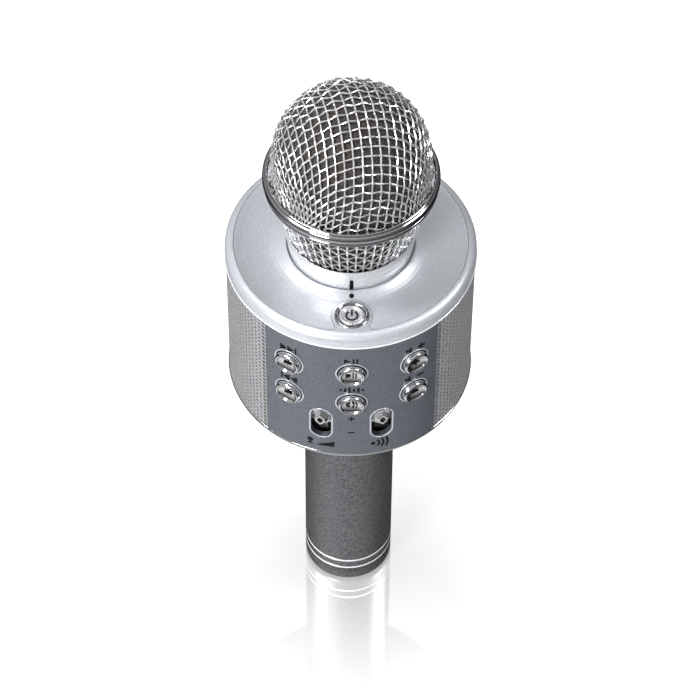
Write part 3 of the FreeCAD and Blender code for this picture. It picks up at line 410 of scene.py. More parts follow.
def slab(shape, outline, under, over):
    """Add a prism of a flat outline between two heights along the third axis."""
    count = len(outline)
    points = [(x, y, under) for x, y in outline] + [(x, y, over) for x, y in outline]
    faces = [tuple(range(count - 1, -1, -1)), tuple(range(count, 2 * count))]
    faces += [(k, (k + 1) % count, count + (k + 1) % count, count + k) for k in range(count)]
    shape.add(points, faces)


# ------------ woven wire

NET_TURN = math.radians(-90 + 12)
NET_TILT = math.radians(8)
NET_FOOT = HOOP_HIGH - 1.2
NET_SPREAD = 0.09
QUARTER = NET_RADIUS * math.pi / 2


def dome_point(arc, turn, outwards=0.0):
    """A point of the dome's surface, by its distance from the top and its turn about Z."""
    if arc < QUARTER:
        tilt = arc / NET_RADIUS
        reach = NET_RADIUS + outwards
        radius, height = reach * math.sin(tilt), DOME_MIDDLE + reach * math.cos(tilt)
    else:
        radius = NET_RADIUS + outwards + NET_SPREAD * (arc - QUARTER)
        height = DOME_MIDDLE - (arc - QUARTER)
    return np.array((radius * math.cos(turn), radius * math.sin(turn), height))


def next_crossing(first, second, guess):
    """The crossing that is one pitch of wire from two known ones, as (arc, turn), or None."""
    known = [dome_point(*first), dome_point(*second)]
    arc, turn = guess

    def miss(arc, turn):
        place = dome_point(arc, turn)
        return np.array([np.linalg.norm(place - other) - PITCH for other in known])

    step = 1e-5
    for _ in range(40):
        error = miss(arc, turn)
        if np.abs(error).max() < 1e-8:
            break
        slope = np.column_stack([(miss(arc + step, turn) - error) / step,
                                 (miss(arc, turn + step) - error) / step])
        if abs(np.linalg.det(slope)) < 1e-9:
            return None
        change = np.linalg.solve(slope, -error)
        arc += float(np.clip(change[0], -1.0, 1.0))
        turn += float(np.clip(change[1], -0.3, 0.3))
    if np.abs(miss(arc, turn)).max() > 1e-4 or arc <= 0:
        return None
    return arc, turn


def draped_net():
    """Square wire cloth pressed over the dome: every side of every cell keeps its length."""
    axis_step = 2 * math.asin(PITCH / 2 / NET_RADIUS) * NET_RADIUS
    count = 24
    quadrant = {(0, 0): (0.0, math.pi / 4)}
    for i in range(1, count):
        quadrant[i, 0] = (i * axis_step, 0.0)
        quadrant[0, i] = (i * axis_step, math.pi / 2)
    for total in range(2, 2 * count):
        for i in range(1, total):
            j = total - i
            sides = quadrant.get((i - 1, j)), quadrant.get((i, j - 1))
            if None in sides or i >= count or j >= count:
                continue
            arc = max(sides[0][0], sides[1][0]) + 0.7 * PITCH
            turn = (sides[0][1] + sides[1][1]) / 2
            if i == 1 and j == 1:
                turn = math.pi / 4
                arc = axis_step * 1.4
            found = next_crossing(sides[0], sides[1], (arc, turn))
            if found and 0 <= found[1] <= math.pi / 2:
                quadrant[i, j] = found
    net = {}
    for (i, j), (arc, turn) in quadrant.items():
        for quarter in range(4):
            place = (i, j)
            for _ in range(quarter):
                place = (-place[1], place[0])
            net[place] = tilted(arc, turn + quarter * math.pi / 2 + NET_TURN)
    return net


def tilted(arc, turn):
    """The cloth's middle sits a few millimetres to the right of the dome's top."""
    x, y, z = dome_point(arc, turn)
    z -= DOME_MIDDLE
    x, z = (x * math.cos(NET_TILT) + z * math.sin(NET_TILT),
            z * math.cos(NET_TILT) - x * math.sin(NET_TILT))
    across = math.hypot(x, y)
    arc = NET_RADIUS * math.atan2(across, z) if z > 0 else QUARTER - z
    return arc, math.atan2(y, x)


def foot_arc():
    return QUARTER + DOME_MIDDLE - NET_FOOT


def weave_dome():
    net = draped_net()
    shape = Shape()
    reach = max(max(abs(i), abs(j)) for i, j in net)
    for direction, lift in ((0, COLUMN_LIFT), (1, ROW_LIFT)):
        for row in range(-reach, reach + 1):
            line = []
            for along in range(-reach, reach + 1):
                key = (along, row) if direction == 0 else (row, along)
                if key not in net:
                    if line:
                        if len(line) > 2:
                            tube(shape, smooth_line(line), WIRE / 2)
                        line = []
                    continue
                arc, turn = net[key]
                over = 1 if (key[0] + key[1] + direction) % 2 else -1
                if arc > foot_arc():
                    if len(line) > 2:
                        line.append(last_point(line[-1], arc, turn, over * lift))
                        tube(shape, smooth_line(line), WIRE / 2)
                    line = []
                    continue
                if not line:
                    previous = (along - 1, row) if direction == 0 else (row, along - 1)
                    if previous in net and net[previous][0] > foot_arc():
                        start_arc, start_turn = net[previous]
                        line.append(last_point(dome_point(arc, turn), start_arc, start_turn,
                                               -over * lift))
                line.append(dome_point(arc, turn, over * lift))
            if len(line) > 2:
                tube(shape, smooth_line(line), WIRE / 2)
    make_piece("dome_wire", shape, "dome_wire", "head", "woven_wire", ["dome_mesh"])


def last_point(inside, arc, turn, outwards):
    """Where a wire that passes the dome's foot meets it."""
    outside = dome_point(arc, turn, outwards)
    share = (inside[2] - NET_FOOT) / max(inside[2] - outside[2], 1e-6)
    return inside + (outside - inside) * min(share, 1.0)


def weave_basket():
    """Woven cup under the hoop: upright wires and rings that pass over and under each other."""
    shape = Shape()
    outline = smooth_line([(19.75, 173.5), (20.1, 176.5), (21.5, 181.0), (23.1, 187.0),
                           (24.7, 193.5), (25.6, 197.9)], 12)
    gaps = np.linalg.norm(np.diff(outline, axis=0), axis=1)
    reached = np.concatenate([[0], np.cumsum(gaps)])
    uprights = 52
    rings = 9
    first, last = 1.6, reached[-1] - 0.3
    spacing = (last - first) / (rings - 1)

    def place(distance, turn, outwards):
        radius = np.interp(distance, reached, outline[:, 0]) - ROW_LIFT - WIRE / 2 + outwards
        height = np.interp(distance, reached, outline[:, 1])
        return np.array((radius * math.cos(turn), radius * math.sin(turn), height))

    for k in range(uprights):
        turn = 2 * math.pi * (k + 0.5) / uprights
        line = [place(first + spacing * n, turn, COLUMN_LIFT * (1 if (n + k) % 2 else -1))
                for n in range(rings)]
        line.insert(0, place(0.2, turn, 0))
        tube(shape, smooth_line(line), WIRE / 2)
    for n in range(rings):
        crossings = []
        for k in range(uprights):
            turn = 2 * math.pi * (k + 0.5) / uprights
            crossings.append(place(first + spacing * n, turn, ROW_LIFT * (-1 if (n + k) % 2 else 1)))
        wound = crossings[-1:] + crossings + crossings[:2]
        line = smooth_line(wound)[4:-4]
        loop_tube(shape, line[:-1], WIRE / 2)
    make_piece("basket_wire", shape, "wire", "head", "woven_wire", ["lower_basket"])


def foam_liner():
    """Foam behind the wires, with the soft unevenness of an open-cell sheet."""
    outer = NET_RADIUS - ROW_LIFT - WIRE / 2
    profile = [(0.0, DOME_MIDDLE + outer)]
    steps = 40
    for k in range(1, steps + 1):
        tilt = math.pi / 2 * k / steps
        profile.append((outer * math.sin(tilt), DOME_MIDDLE + outer * math.cos(tilt)))
    profile += [(outer, HOOP_LOW), (outer - 0.9, HOOP_LOW - 4), (outer - 2.9, FOAM_LOW + 1.2),
                (outer - 3.6, FOAM_LOW), (outer - 6.4, FOAM_LOW), (outer - 6.6, FOAM_LOW + 1.5),
                (outer - 4.6, HOOP_LOW), (outer - 4.6, DOME_MIDDLE)]
    for k in range(steps - 1, -1, -1):
        tilt = math.pi / 2 * k / steps
        inner = outer - 4.6
        profile.append((inner * math.sin(tilt), DOME_MIDDLE + inner * math.cos(tilt)))
    shape = lathe(profile, 200, closed=False)
    shape.points = [uneven(p) for p in shape.points]
    piece = make_piece("foam_liner", shape, "foam", "head", "foam", ["foam_windscreen"], sharp=80)


def basket_lining():
    """Dark cloth that lines the basket from the foam's lower edge down to the cradle."""
    line = [(18.25, 174.7), (18.55, 176.5), (19.9, 181.0), (21.45, 187.0), (22.05, 189.6)]
    outside = [tuple(p) for p in smooth_line(line)]
    inside = [(radius - 0.45, height) for radius, height in reversed(outside)]
    shape = lathe(outside + inside, 120)
    make_piece("basket_lining", shape, "cloth", "head", "foam")


def uneven(point):
    """Move a point in or out by up to a quarter of a millimetre."""
    x, y, z = point
    wave = (math.sin(x * 1.9 + z * 0.7) * math.sin(y * 2.3 - z * 0.5) * 0.6
            + math.sin(x * 4.1 - y * 3.7) * math.sin(z * 4.3) * 0.4)
    scale = 1 - (0.12 + 0.12 * wave) / DOME_RADIUS
    return (x * scale, y * scale, DOME_MIDDLE + (z - DOME_MIDDLE) * scale)


# ------------ hoop

def chrome_hoop():
    bottom, top, outer = HOOP_LOW, HOOP_HIGH, HOOP_RADIUS
    corners = [
        (outer - 1.75, bottom), (outer - 1.0, bottom), (outer - 0.45, bottom + 0.25),
        (outer - 0.3, bottom + 0.7), (outer - 0.5, bottom + 1.1), (outer - 0.85, bottom + 1.3),
        (outer - 0.7, bottom + 1.5), (outer - 0.3, bottom + 1.75), (outer - 0.05, bottom + 2.3),
        (outer, bottom + 2.9), (outer - 0.12, bottom + 3.5), (outer - 0.45, bottom + 3.95),
        (outer - 0.85, bottom + 4.15), (outer - 0.9, bottom + 4.35), (outer - 0.7, bottom + 4.6),
        (outer - 0.75, bottom + 4.95), (outer - 1.1, top), (outer - 1.5, top - 0.05),
        (outer - 1.75, top - 0.3)]
    outline = [tuple(p) for p in smooth_line(corners, 3)]
    outline += [(outer - 1.85, bottom + 2.6)]
    shape = lathe(outline, 256)
    make_piece("hoop", shape, "hoop_plate", "head", "bright_trim", ["hoop_ring"], sharp=60)


# ------------ handle and drum base

def turned_piece(name, outline, finish, slot, sharp=40.0):
    """A turned part of the microphone's body, in place of the CAD node of nearly the same name."""
    make_piece(name + "_turned", lathe(outline, 224), finish, "microphone_body", slot, [name],
               sharp)


def crowned_ring(name, outer, inner, edge, shoulder, rise, finish):
    """A turned ring whose outer side is rounded."""
    bottom, top = low(name).z, high(name).z
    painted_crown_highlight = smooth_line([(outer - edge, bottom), (outer - shoulder, bottom + rise),
                         (outer, (bottom + top) / 2), (outer - shoulder, top - rise),
                         (outer - edge, top)], 3)
    turned_piece(name, [(inner, bottom)] + [tuple(p) for p in painted_crown_highlight] + [(inner, top)],
                 finish, "bright_trim")


def fillet(outer, bottom, radius):
    """A quarter round from a flat underside up to a wall, as (radius, height)."""
    return [(outer - radius + radius * math.sin(math.radians(a)),
             bottom + radius * (1 - math.cos(math.radians(a)))) for a in range(0, 91, 9)]


def handle_and_base():
    grip = high("handle_tube").x
    bore = grip - 1.4
    edge = 0.12
    for name in ("handle_tube", "handle_band"):
        bottom, top = low(name).z, min(high(name).z, low("drum_base").z + 0.02)
        turned_piece(name, [
            (bore, bottom), (grip - edge, bottom), (grip, bottom + edge), (grip, top - edge),
            (grip - edge, top), (bore, top)], "handle", "handle_finish")
    # the trim rings use the white satin finish as a painted reflection in place of plating
    for name in ("trim_ring_lower", "trim_ring_upper"):
        crowned_ring(name, grip + 0.03, bore, 0.25, 0.05, 0.22, "white_satin_painted_reflection")
    top = low("trim_ring_lower").z
    turned_piece("handle_end_cap",
                 [(0.0, 0.0), (4.0, 0.0), (4.2, 0.25), (4.8, 0.25), (5.0, 0.0)]
                 + fillet(grip, 0.0, grip - 13.0)
                 + [(grip, top - edge), (grip - edge, top), (0.0, top)], "handle",
                 "handle_finish", sharp=60)
    base_edge = DRUM_RADIUS - 0.2
    bottom = low("drum_base").z
    plate = 106.8
    collar = 17.6
    under_bead = low("bead_ring_lower").z
    turned_piece("drum_base",
                 [(grip + 0.03, bottom), (collar - 0.8, bottom), (collar - 0.15, bottom + 0.55),
                  (collar, bottom + 0.95), (collar, plate - 0.35), (collar + 0.35, plate)]
                 + fillet(base_edge, plate, 1.3)
                 + [(base_edge, under_bead), (base_edge - 2, under_bead),
                    (base_edge - 4, plate + 2.4), (grip + 0.03, plate + 2.4)],
                 "base", "base_paint")
    for name, finish in (("bead_ring_lower", "hoop_plate"), ("bead_ring_upper", "white_satin_painted_reflection")):
        outer = high(name).x
        crowned_ring(name, outer, outer - 2.2, 0.3, 0.06, 0.14, finish)


# ------------ grilles

GRILLE_ROWS = 30
GRILLE_COLUMNS = 35
HOLE_CORNERS = 16
EDGE_STRIP = 1.9


def grille(side, flip):
    """A perforated sheet: a square grid of holes, with a column of wider ones at each end."""
    bend = GRILLE_RADIUS
    half = math.radians(47.15) * bend
    rows = GRILLE_ROWS
    row_height = (GRILLE_HIGH - GRILLE_LOW) / rows
    start, end = -half + EDGE_STRIP, half - EDGE_STRIP
    width = (end - start) / GRILLE_COLUMNS
    shape = Shape()

    def cell(left, right, low_side, high_side, radius):
        across, up = (left + right) / 2, (low_side + high_side) / 2
        border = [(right, up), (right, high_side), (across, high_side), (left, high_side),
                  (left, up), (left, low_side), (across, low_side), (right, low_side)]
        ring = []
        for k in range(HOLE_CORNERS):
            turn = 2 * math.pi * k / HOLE_CORNERS
            ring.append((across + radius * math.cos(turn), up + radius * math.sin(turn)))
        faces = []
        for k in range(8):
            inner = [8 + (2 * k + n) % HOLE_CORNERS for n in (2, 1, 0)]
            faces.append((k, (k + 1) % 8, *inner))
        shape.add([(x, z, 0) for x, z in border + ring], faces)

    for row in range(rows):
        low_side = GRILLE_LOW + row * row_height
        high_side = low_side + row_height
        cell(-half, start, low_side, high_side, 0.74)
        cell(end, half, low_side, high_side, 0.74)
        for column in range(GRILLE_COLUMNS):
            left = start + column * width
            cell(left, left + width, low_side, high_side, 0.55)
    sheet = bmesh.new()
    corners = [sheet.verts.new(p) for p in shape.points]
    for face in shape.faces:
        sheet.faces.new([corners[i] for i in face])
    bmesh.ops.remove_doubles(sheet, verts=sheet.verts, dist=0.001)
    sheet.verts.index_update()
    flat = [tuple(v.co) for v in sheet.verts]
    faces = [tuple(v.index for v in face.verts) for face in sheet.faces]
    open_edges = [tuple(v.index for v in edge.verts) for edge in sheet.edges
                  if len(edge.link_faces) == 1]
    sheet.free()
    count = len(flat)
    points = []
    for radius in (bend, bend - 0.8):
        for across, height, _ in flat:
            turn = across / bend
            points.append((flip * radius * math.cos(turn), flip * radius * math.sin(turn), height))
    everything = list(faces) + [tuple(count + i for i in reversed(face)) for face in faces]
    everything += [(a, b, count + b, count + a) for a, b in open_edges]
    solid = Shape()
    solid.add(points, everything)
    make_piece("grille_" + side + "_sheet", solid, "grille", "microphone_body", "grille_sheet",
               ["grille_" + side])


def grille_cloth(side, flip):
    """Dust cloth stretched close behind the perforated sheet."""
    steps = 48
    outer, inner = GRILLE_RADIUS - 1.0, GRILLE_RADIUS - 1.3
    bottom, top = GRILLE_LOW + 0.3, GRILLE_HIGH - 0.3
    points = []
    for k in range(steps + 1):
        turn = math.radians(-46.2 + 92.4 * k / steps)
        across, along = flip * math.cos(turn), flip * math.sin(turn)
        points += [(across * radius, along * radius, height) for radius, height in (
            (outer, bottom), (outer, top), (inner, top), (inner, bottom))]
    shape = Shape()
    skin(shape, points, 4)
    make_piece("grille_" + side + "_cloth", shape, "cloth", "microphone_body", "foam")


# ------------ icons

def bar(across, up, width, height):
    return [(across - width / 2, up - height / 2), (across + width / 2, up - height / 2),
            (across + width / 2, up + height / 2), (across - width / 2, up + height / 2)]


def arrow(across, up, width, height, direction=1):
    return [(across - direction * width / 2, up - height / 2),
            (across + direction * width / 2, up),
            (across - direction * width / 2, up + height / 2)]


def arc_band(across, up, radius, thickness, start, end, parts=10):
    """Quads along part of a ring."""
    quads = []
    for k in range(parts):
        a = math.radians(start + (end - start) * k / parts)
        b = math.radians(start + (end - start) * (k + 1) / parts)
        inner, outer = radius - thickness / 2, radius + thickness / 2
        quads.append([(across + inner * math.cos(a), up + inner * math.sin(a)),
                      (across + outer * math.cos(a), up + outer * math.sin(a)),
                      (across + outer * math.cos(b), up + outer * math.sin(b)),
                      (across + inner * math.cos(b), up + inner * math.sin(b))])
    return quads


def speaker_icon(across, up, size):
    return [bar(across - 0.55 * size, up, 0.4 * size, 0.6 * size),
            [(across - 0.3 * size, up - 0.3 * size), (across + 0.2 * size, up - 0.75 * size),
             (across + 0.2 * size, up + 0.75 * size), (across - 0.3 * size, up + 0.3 * size)]]


def disc(across, up, radius, parts=20):
    return [(across + radius * math.cos(2 * math.pi * k / parts),
             up + radius * math.sin(2 * math.pi * k / parts)) for k in range(parts)]


def skip_icon(direction, size):
    return [arrow(-0.75 * size * direction, 0, 1.1 * size, 1.3 * size, direction),
            arrow(0.4 * size * direction, 0, 1.1 * size, 1.3 * size, direction),
            bar(1.12 * size * direction, 0, 0.26 * size, 1.3 * size)]


def play_pause_icon(size):
    return [arrow(-0.75 * size, 0, 1.1 * size, 1.25 * size),
            bar(0.25 * size, 0, 0.28 * size, 1.25 * size),
            bar(0.85 * size, 0, 0.28 * size, 1.25 * size)]


def wave_icon(size):
    heights = [0.35, 0.65, 1.0, 0.55, 0.85, 0.4]
    return [bar((k - 2.5) * 0.5 * size, 0, 0.27 * size, h * size) for k, h in enumerate(heights)]


def plus_icon(across, size, thickness):
    half = size / 2
    t = thickness / 2
    return [bar(across, 0, size, thickness), bar(across, (half + t) / 2, thickness, half - t),
            bar(across, -(half + t) / 2, thickness, half - t)]


def part_of(outline, edge, keep_right):
    """The part of a convex outline to one side of an upright line."""
    kept = []
    for (x, y), (next_x, next_y) in zip(outline, outline[1:] + outline[:1]):
        inside = x >= edge if keep_right else x <= edge
        if inside:
            kept.append((x, y))
        if (x - edge) * (next_x - edge) < 0:
            share = (edge - x) / (next_x - x)
            kept.append((edge, y + share * (next_y - y)))
    return kept


def ink(outlines, angle, height, flip=1):
    """Thin print laid on the drum, cut into narrow strips so that it follows the curve."""
    sign = Shape()
    for outline in outlines:
        left = min(x for x, _ in outline)
        right = max(x for x, _ in outline)
        strips = max(1, math.ceil((right - left) / 0.7))
        width = (right - left) / strips
        for k in range(strips):
            strip = part_of(outline, left + k * width, True) if k else outline
            if k < strips - 1:
                strip = part_of(strip, left + (k + 1) * width, False)
            if len(strip) > 2:
                slab(sign, strip, DRUM_RADIUS - 0.1, DRUM_RADIUS + 0.03)
    return sign.moved(wrapped(angle, height, flip))


def print_signs(name, signs, flip=1):
    """One piece of print from (angle, height, outlines)."""
    shape = Shape()
    for angle, height, outlines in signs:
        sign = ink(outlines, angle, height, flip)
        shape.add(sign.points, sign.faces)
    make_piece(name, shape, "print", "microphone_body", "black_plastic")


def print_on_panel():
    """Small printed signs beside the controls, in place of words."""
    left, right = angle_of("button_next"), angle_of("button_volume_up")
    upper, lower = height_of("button_next") + 6.4, height_of("button_previous") + 6.8
    under_slots = 113.9
    microphone = [disc(-3.6, 0.6, 1.0), bar(-3.6, -0.8, 0.7, 1.7), bar(-3.6, -1.45, 2.2, 0.5)]
    wedge = [[(-1.8, -1.5), (4.4, -1.5), (4.4, 1.3)]]
    echoes = [disc(-2.7, 0, 0.8)]
    for radius, half in ((2.0, 50), (3.4, 38), (4.8, 30)):
        echoes += arc_band(-2.7, 0, radius, 0.75, -half, half)
    print_signs("panel_signs", [
        (left, upper, skip_icon(1, 2.3)),
        (left, lower, skip_icon(-1, 2.3)),
        (0.0, upper, play_pause_icon(1.9)),
        (0.0, lower, wave_icon(2.8)),
        (right, upper, speaker_icon(-1.7, 0, 2.2) + plus_icon(2.3, 2.5, 0.85)),
        (right, lower, speaker_icon(-1.7, 0, 2.2) + [bar(2.3, 0, 2.5, 0.85)]),
        (angle_of("mic_volume_knob"), under_slots, microphone + wedge),
        (angle_of("echo_knob"), under_slots, echoes),
        (0.0, 127.8, plus_icon(0, 2.1, 0.6)),
        (0.0, 120.6, [bar(0, 0, 2.1, 0.6)]),
    ])


def print_on_rear():
    """Signs beside the sockets on the back."""
    print_signs("rear_signs", [
        (7.5, 131.0, arc_band(0, 0, 1.3, 0.35, -10, 190) + [bar(-1.3, -0.6, 0.8, 1.2),
                                                            bar(1.3, -0.6, 0.8, 1.2)]),
        (7.5, 143.0, [bar(0, 0, 2.6, 0.35), bar(-0.9, 0.0, 0.35, 1.5), bar(0.9, 0, 0.35, 1.5)]),
        (7.5, 155.0, [[(-1.0, -1.2), (1.0, -1.2), (1.0, 0.7), (0.5, 1.2), (-1.0, 1.2)]]),
        (6.5, 122.5, [[(0.3, 1.2), (-0.8, -0.15), (-0.05, -0.15)],
                      [(-0.3, -1.2), (0.8, 0.15), (0.05, 0.15)]]),
    ], flip=-1)


# ------------ round buttons

def button_icons():
    voice = (arc_band(-0.9, 0, 0.75, 0.35, 60, 300) + arc_band(-0.9, 0, 1.7, 0.35, -50, 50)
             + arc_band(-0.9, 0, 2.6, 0.35, -36, 36))
    return {
        "button_next": skip_icon(1, 0.95),
        "button_previous": skip_icon(-1, 0.95),
        "button_play_pause": play_pause_icon(1.5),
        "button_voice": voice,
        "button_volume_up": plus_icon(0, 2.6, 0.42),
        "button_volume_down": [bar(0, 0, 2.6, 0.42)],
    }


def round_buttons():
    """Plated caps with a rolled rim, a dished face and a dark sign in it."""
    face = BUTTON_FACE
    rim = smooth_line([
        (BUTTON_RADIUS, face - 1.5), (BUTTON_RADIUS, face - 0.8), (BUTTON_RADIUS - 0.12, face - 0.35),
        (BUTTON_RADIUS - 0.45, face - 0.04), (BUTTON_RADIUS - 0.75, face - 0.02),
        (BUTTON_RADIUS - 1.0, face - 0.25), (3.1, face - 0.55), (2.4, face - 0.85),
        (1.5, face - 1.05), (0.7, face - 1.15), (0.0, face - 1.18)], 5)
    for label, outlines in button_icons().items():
        inner_end = 33.5
        profile = [(0.0, inner_end), (1.5, inner_end), (1.5, 36.2), (BUTTON_FLANGE, 36.2),
                   (BUTTON_FLANGE, 37.1), (BUTTON_RADIUS, 37.1)]
        place = out_of_drum(angle_of(label), height_of(label))
        shape = lathe(profile + [tuple(p) for p in rim], 96, closed=False).moved(place)
        make_piece(label + "_cap", shape, "chrome", label + "_cap", "plated_button", [label])
        sign = Shape()
        for outline in outlines:
            slab(sign, outline, face - 1.3, face - 0.78)
        sign.moved(place)
        make_piece(label + "_sign", sign, "print", label + "_cap", "black_plastic")


def hole_lips():
    """Rounded lips of the panel round the buttons and the slots, in the lighter silver paint as a
    painted highlight round each hole.
    """
    hole = BUTTON_RADIUS + 0.62
    lips = [(label, height_of(label), pill(hole, hole), 0.12) for label in button_icons()]
    lips += [(label, 124.2, pill(3.68, 7.28), 0.1) for label in ("mic_volume_knob", "echo_knob")]
    shape = Shape()
    for label, height, outline, sunk in lips:
        change = out_of_drum(angle_of(label), height)
        outward = Vector(change((0, 0, 1))) - Vector(change((0, 0, 0)))
        line = [change((x, y, math.sqrt(DRUM_RADIUS ** 2 - x ** 2) - sunk)) for x, y in outline]
        loop_tube(shape, line, 0.28, outward)
    # painted highlight: the lips take the lighter silver paint, not the panel paint, so they read as a
    # bright halo round each hole
    make_piece("control_lips", shape, "silver", "microphone_body", "panel_paint")


# ------------ slide knobs

OUTLINE_POINTS = 64


def pill(half_width, half_height):
    """An upright slot shape, or a circle, anticlockwise from the right."""
    straight = half_height - half_width
    outline = []
    for k in range(OUTLINE_POINTS):
        a = 2 * math.pi * k / OUTLINE_POINTS
        lift = straight if math.sin(a) >= 0 else -straight
        outline.append((half_width * math.cos(a), half_width * math.sin(a) + lift))
    return outline


def hexagon(half_width, half_height):
    """A tall hexagon with upright sides, with the same number of points as a pill."""
    outline = []
    for k in range(OUTLINE_POINTS):
        a = 2 * math.pi * k / OUTLINE_POINTS
        across, up = math.cos(a), math.sin(a)
        side = abs(across) / half_width
        reach = 1 / max(side, 0.65 * side + abs(up) / half_height)
        outline.append((across * reach, up * reach))
    return outline


def stacked(shape, outlines):
    """Skin a row of outlines with equal counts, each at its own depth, and close both ends."""
    skin(shape, [(x, y, depth) for outline, depth in outlines for x, y in outline],
         OUTLINE_POINTS)


def slide_knobs():
    """Plated slide knobs: an oval cap with a faceted grip and a groove down its middle."""
    for label, body in (("mic_volume_knob", "mic_volume_slider"), ("echo_knob", "echo_slider")):
        shape = Shape()
        face = KNOB_FACE
        slab(shape, bar(0, 0, 8.0, 10.0), 36.5, 37.4)
        slab(shape, bar(0, 0, 1.2, 2.0), 33.9, 37.0)
        stacked(shape, [
            (pill(3.0, 3.7), 37.0), (pill(3.0, 3.7), face - 2.0), (pill(2.8, 3.5), face - 1.75),
            (hexagon(2.7, 3.4), face - 1.7), (hexagon(1.6, 2.5), face - 0.1),
            (hexagon(1.4, 2.3), face), (hexagon(0.95, 1.5), face),
            (hexagon(0.75, 1.25), face - 1.2)])
        place = out_of_drum(angle_of(label), height_of(label))
        shape.moved(place)
        make_piece(label + "_cap", shape, "chrome", body, "plated_button", [label], sharp=20)
        notch = Shape()
        stacked(notch, [(hexagon(0.84, 1.37), face - 1.1), (hexagon(0.88, 1.42), face - 0.55)])
        notch.moved(place)
        make_piece(label + "_notch", notch, "print", body, "black_plastic")


# ------------ power button

def power_cap():
    """Plated cap with a stepped rim, a dark groove and a dark sign."""
    face = POWER_FACE
    radius = 4.1
    top = smooth_line([
        (radius, face - 1.4), (radius, face - 0.6), (radius - 0.2, face - 0.2),
        (radius - 0.55, face), (radius - 0.95, face - 0.05), (radius - 1.2, face - 0.3),
        (2.6, face - 0.42), (1.6, face - 0.5), (0.7, face - 0.54), (0.0, face - 0.55)], 5)
    profile = [(0.0, face - 5.5), (1.3, face - 5.5), (1.3, 164.0), (5.1, 164.0), (5.1, 164.8),
               (radius, 164.8)]
    shape = lathe(profile + [tuple(p) for p in top], 96, closed=False)
    sign = Shape()
    for outline in arc_band(0, 0, 1.75, 0.55, 125, 415, 28) + [bar(0, 1.15, 0.55, 2.3)]:
        slab(sign, outline, face - 0.8, face - 0.34)
    groove = lathe([(2.9, face - 0.7), (3.15, face - 0.7), (3.15, face - 0.24),
                    (2.9, face - 0.3)], 96)
    across, along = POWER_MIDDLE.x, POWER_MIDDLE.y
    for name, part, finish, slot in (
            ("power_button_cap", shape, "satin", "plated_button"),
            ("power_button_sign", sign, "print", "black_plastic"),
            ("power_button_groove", groove, "print", "black_plastic")):
        part.moved(lambda p: (p[0] + across, p[1] + along, p[2]))
        make_piece(name, part, finish, "power_button_cap", slot,
                   ["power_button"] if finish == "satin" else [])


# ------------ index marks

def index_marks():
    """Dark paint in the collar's slot and in the dot beside the power button."""
    line = Shape()
    stacked(line, [(pill(0.6, 2.45), 19.0), (pill(0.6, 2.45), 19.97), (pill(0.4, 2.2), 20.02)])
    line.moved(out_of_drum(0, 171.0))
    make_piece("collar_index_line", line, "print", "head", "black_plastic")
    dot = lathe([(0.0, 167.9), (0.78, 167.9), (0.78, 168.6), (0.6, 168.66), (0.0, 168.68)], 48,
                closed=False)
    dot.moved(lambda p: (p[0], p[1] - 22.6, p[2]))
    make_piece("cover_index_dot", dot, "print", "microphone_body", "black_plastic")


weave_dome()
weave_basket()
foam_liner()
basket_lining()
chrome_hoop()
handle_and_base()
grille("right", 1)
grille("left", -1)
grille_cloth("right", 1)
grille_cloth("left", -1)
print_on_panel()
print_on_rear()
round_buttons()
hole_lips()
slide_knobs()
power_cap()
index_marks()


# ------------ stage, light and camera

def floor():
    """Pale floor that mirrors the foot and fades to plain white round the object."""
    mesh = bpy.data.meshes.new("floor")
    half = 4.0
    mesh.from_pydata([(-half, -half, 0), (half, -half, 0), (half, half, 0), (-half, half, 0)],
                     [], [(0, 1, 2, 3)])
    plane = bpy.data.objects.new("floor", mesh)
    bpy.context.scene.collection.objects.link(plane)
    material, tree, shader, place = new_material("floor_gloss")
    tree.nodes.remove(shader)
    ground = place.outputs["Object"]
    white = add(tree, "BsdfDiffuse", {"Color": (0.92, 0.92, 0.92, 1)})
    gloss = add(tree, "BsdfGlossy", {"Color": (0.95, 0.95, 0.95, 1), "Roughness": 0.05})
    reach = add(tree, "VectorMath", {0: ground}, operation="LENGTH").outputs["Value"]
    clear = add(tree, "VectorMath", {0: ground, 1: (0, -0.045, 0)},
                operation="DISTANCE").outputs["Value"]
    strength = add(tree, "Math", {
        0: add(tree, "LightPath").outputs["Is Camera Ray"],
        1: spread(tree, clear, 0, 0.16, 0.045, 0.085),
        2: spread(tree, reach, 0.36, 0.95, 0.25, 1.2)}, operation="MULTIPLY_ADD")
    glow = add(tree, "Emission", {"Strength": strength.outputs["Value"]})
    mixed = add(tree, "MixShader", {"Fac": spread(tree, reach, 0.9, 0.04, 0.014, 0.13),
                                    1: white.outputs[0], 2: gloss.outputs[0]})
    lit = add(tree, "AddShader", {0: mixed.outputs[0], 1: glow.outputs[0]})
    tree.links.new(lit.outputs[0], tree.nodes["Material Output"].inputs["Surface"])
    mesh.materials.append(material)
    plane.visible_glossy = False


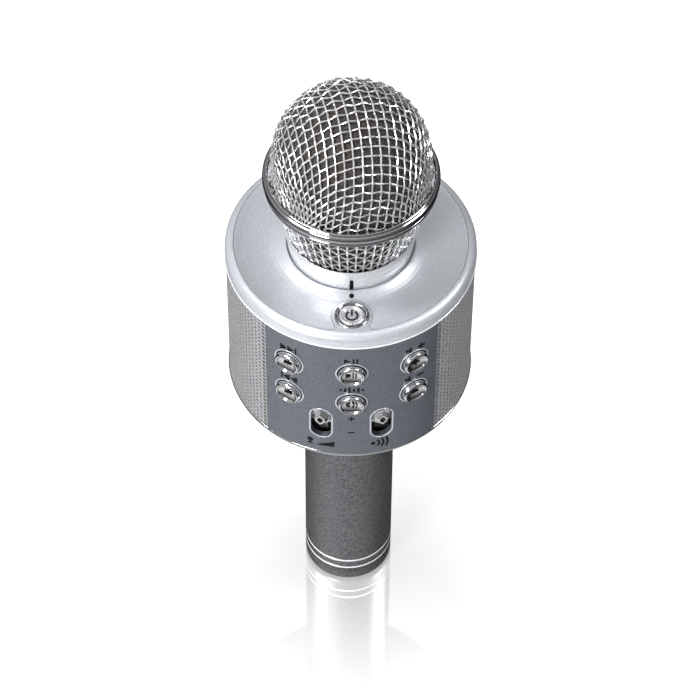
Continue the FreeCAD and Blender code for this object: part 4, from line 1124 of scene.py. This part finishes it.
def studio_world():
    """Bright above and low in front, dark below the horizon, so that plating shows contrast."""
    world = bpy.data.worlds.new("studio")
    bpy.context.scene.world = world
    world.use_nodes = True
    tree = world.node_tree
    background = tree.nodes["Background"]
    direction = add(tree, "TexCoord").outputs["Generated"]
    split = add(tree, "SeparateXYZ", {0: direction}).outputs
    ramp = add(tree, "ValToRGB", {"Fac": spread(tree, split["Z"], 0, 1, -1, 1)})
    stops = [(0.0, 0.9), (0.12, 0.8), (0.25, 0.25), (0.40, 0.05), (0.46, 0.05), (0.50, 0.38),
             (0.60, 0.42), (0.72, 0.30), (0.88, 0.45), (1.0, 0.9)]
    elements = ramp.color_ramp.elements
    elements.remove(elements[1])
    for index, (position, value) in enumerate(stops):
        element = elements[0] if index == 0 else elements.new(position)
        element.position = position
        element.color = (value, value, value * 1.02, 1)
    above = spread(tree, split["Z"], 0, 1, -0.05, 0.05)
    facing = add(tree, "VectorMath", {0: direction, 1: (0.22, 0.975, 0)},
                 operation="DOT_PRODUCT").outputs["Value"]
    in_front = spread(tree, facing, 0.06, 1, 0.05, -0.36)
    lower_light = add(tree, "Math", {0: above, 1: in_front}, operation="MAXIMUM").outputs[0]
    from_left = spread(tree, split["X"], 1.2, 0.5, -0.8, 0.8)
    strength = add(tree, "Math", {0: lower_light, 1: from_left}, operation="MULTIPLY").outputs[0]
    tree.links.new(ramp.outputs["Color"], background.inputs["Color"])
    tree.links.new(strength, background.inputs["Strength"])
    backdrop = add(tree, "Background", {"Color": (0.96, 0.96, 0.97, 1)})
    either = add(tree, "MixShader", {"Fac": add(tree, "LightPath").outputs["Is Camera Ray"],
                                     1: background.outputs[0], 2: backdrop.outputs[0]})
    tree.links.new(either.outputs[0], tree.nodes["World Output"].inputs["Surface"])


def softbox(name, place, target, width, height, power):
    data = bpy.data.lights.new(name, "AREA")
    data.shape = "RECTANGLE"
    data.size, data.size_y = width, height
    data.energy = power
    light = bpy.data.objects.new(name, data)
    light.location = place
    direction = Vector(target) - Vector(place)
    light.rotation_euler = direction.to_track_quat("-Z", "Y").to_euler()
    bpy.context.scene.collection.objects.link(light)


def camera():
    """The photographer's place: above and in front, with a long lens."""
    data = bpy.data.cameras.new("camera")
    data.lens = 162.1
    data.sensor_width = 36.0
    data.clip_start, data.clip_end = 0.05, 50
    view = bpy.data.objects.new("camera", data)
    pitch, roll, heading = map(math.radians, (51.75, 0.495, 1.0))
    forward = Vector((math.sin(heading) * math.cos(pitch), math.cos(heading) * math.cos(pitch),
                      -math.sin(pitch)))
    level = Vector((math.cos(heading), -math.sin(heading), 0))
    upward = level.cross(forward)
    right = level * math.cos(roll) + upward * math.sin(roll)
    up = upward * math.cos(roll) - level * math.sin(roll)
    turn = Matrix((right, up, -forward)).transposed()
    view.matrix_world = Matrix.Translation((-0.0112, -0.6443, 0.9300)) @ turn.to_4x4()
    bpy.context.scene.collection.objects.link(view)
    bpy.context.scene.camera = view


floor()
studio_world()
MIDDLE = (0, 0, 0.13)
softbox("front_box", (-0.68, -0.92, 0.65), MIDDLE, 0.4, 0.5, 14.5)
softbox("left_box", (-0.45, 0.0, 1.1), MIDDLE, 0.16, 0.4, 6)
softbox("right_box", (0.60, 0.05, 0.85), MIDDLE, 0.16, 0.4, 3.6)
camera()
bpy.context.scene.view_settings.view_transform = "Standard"
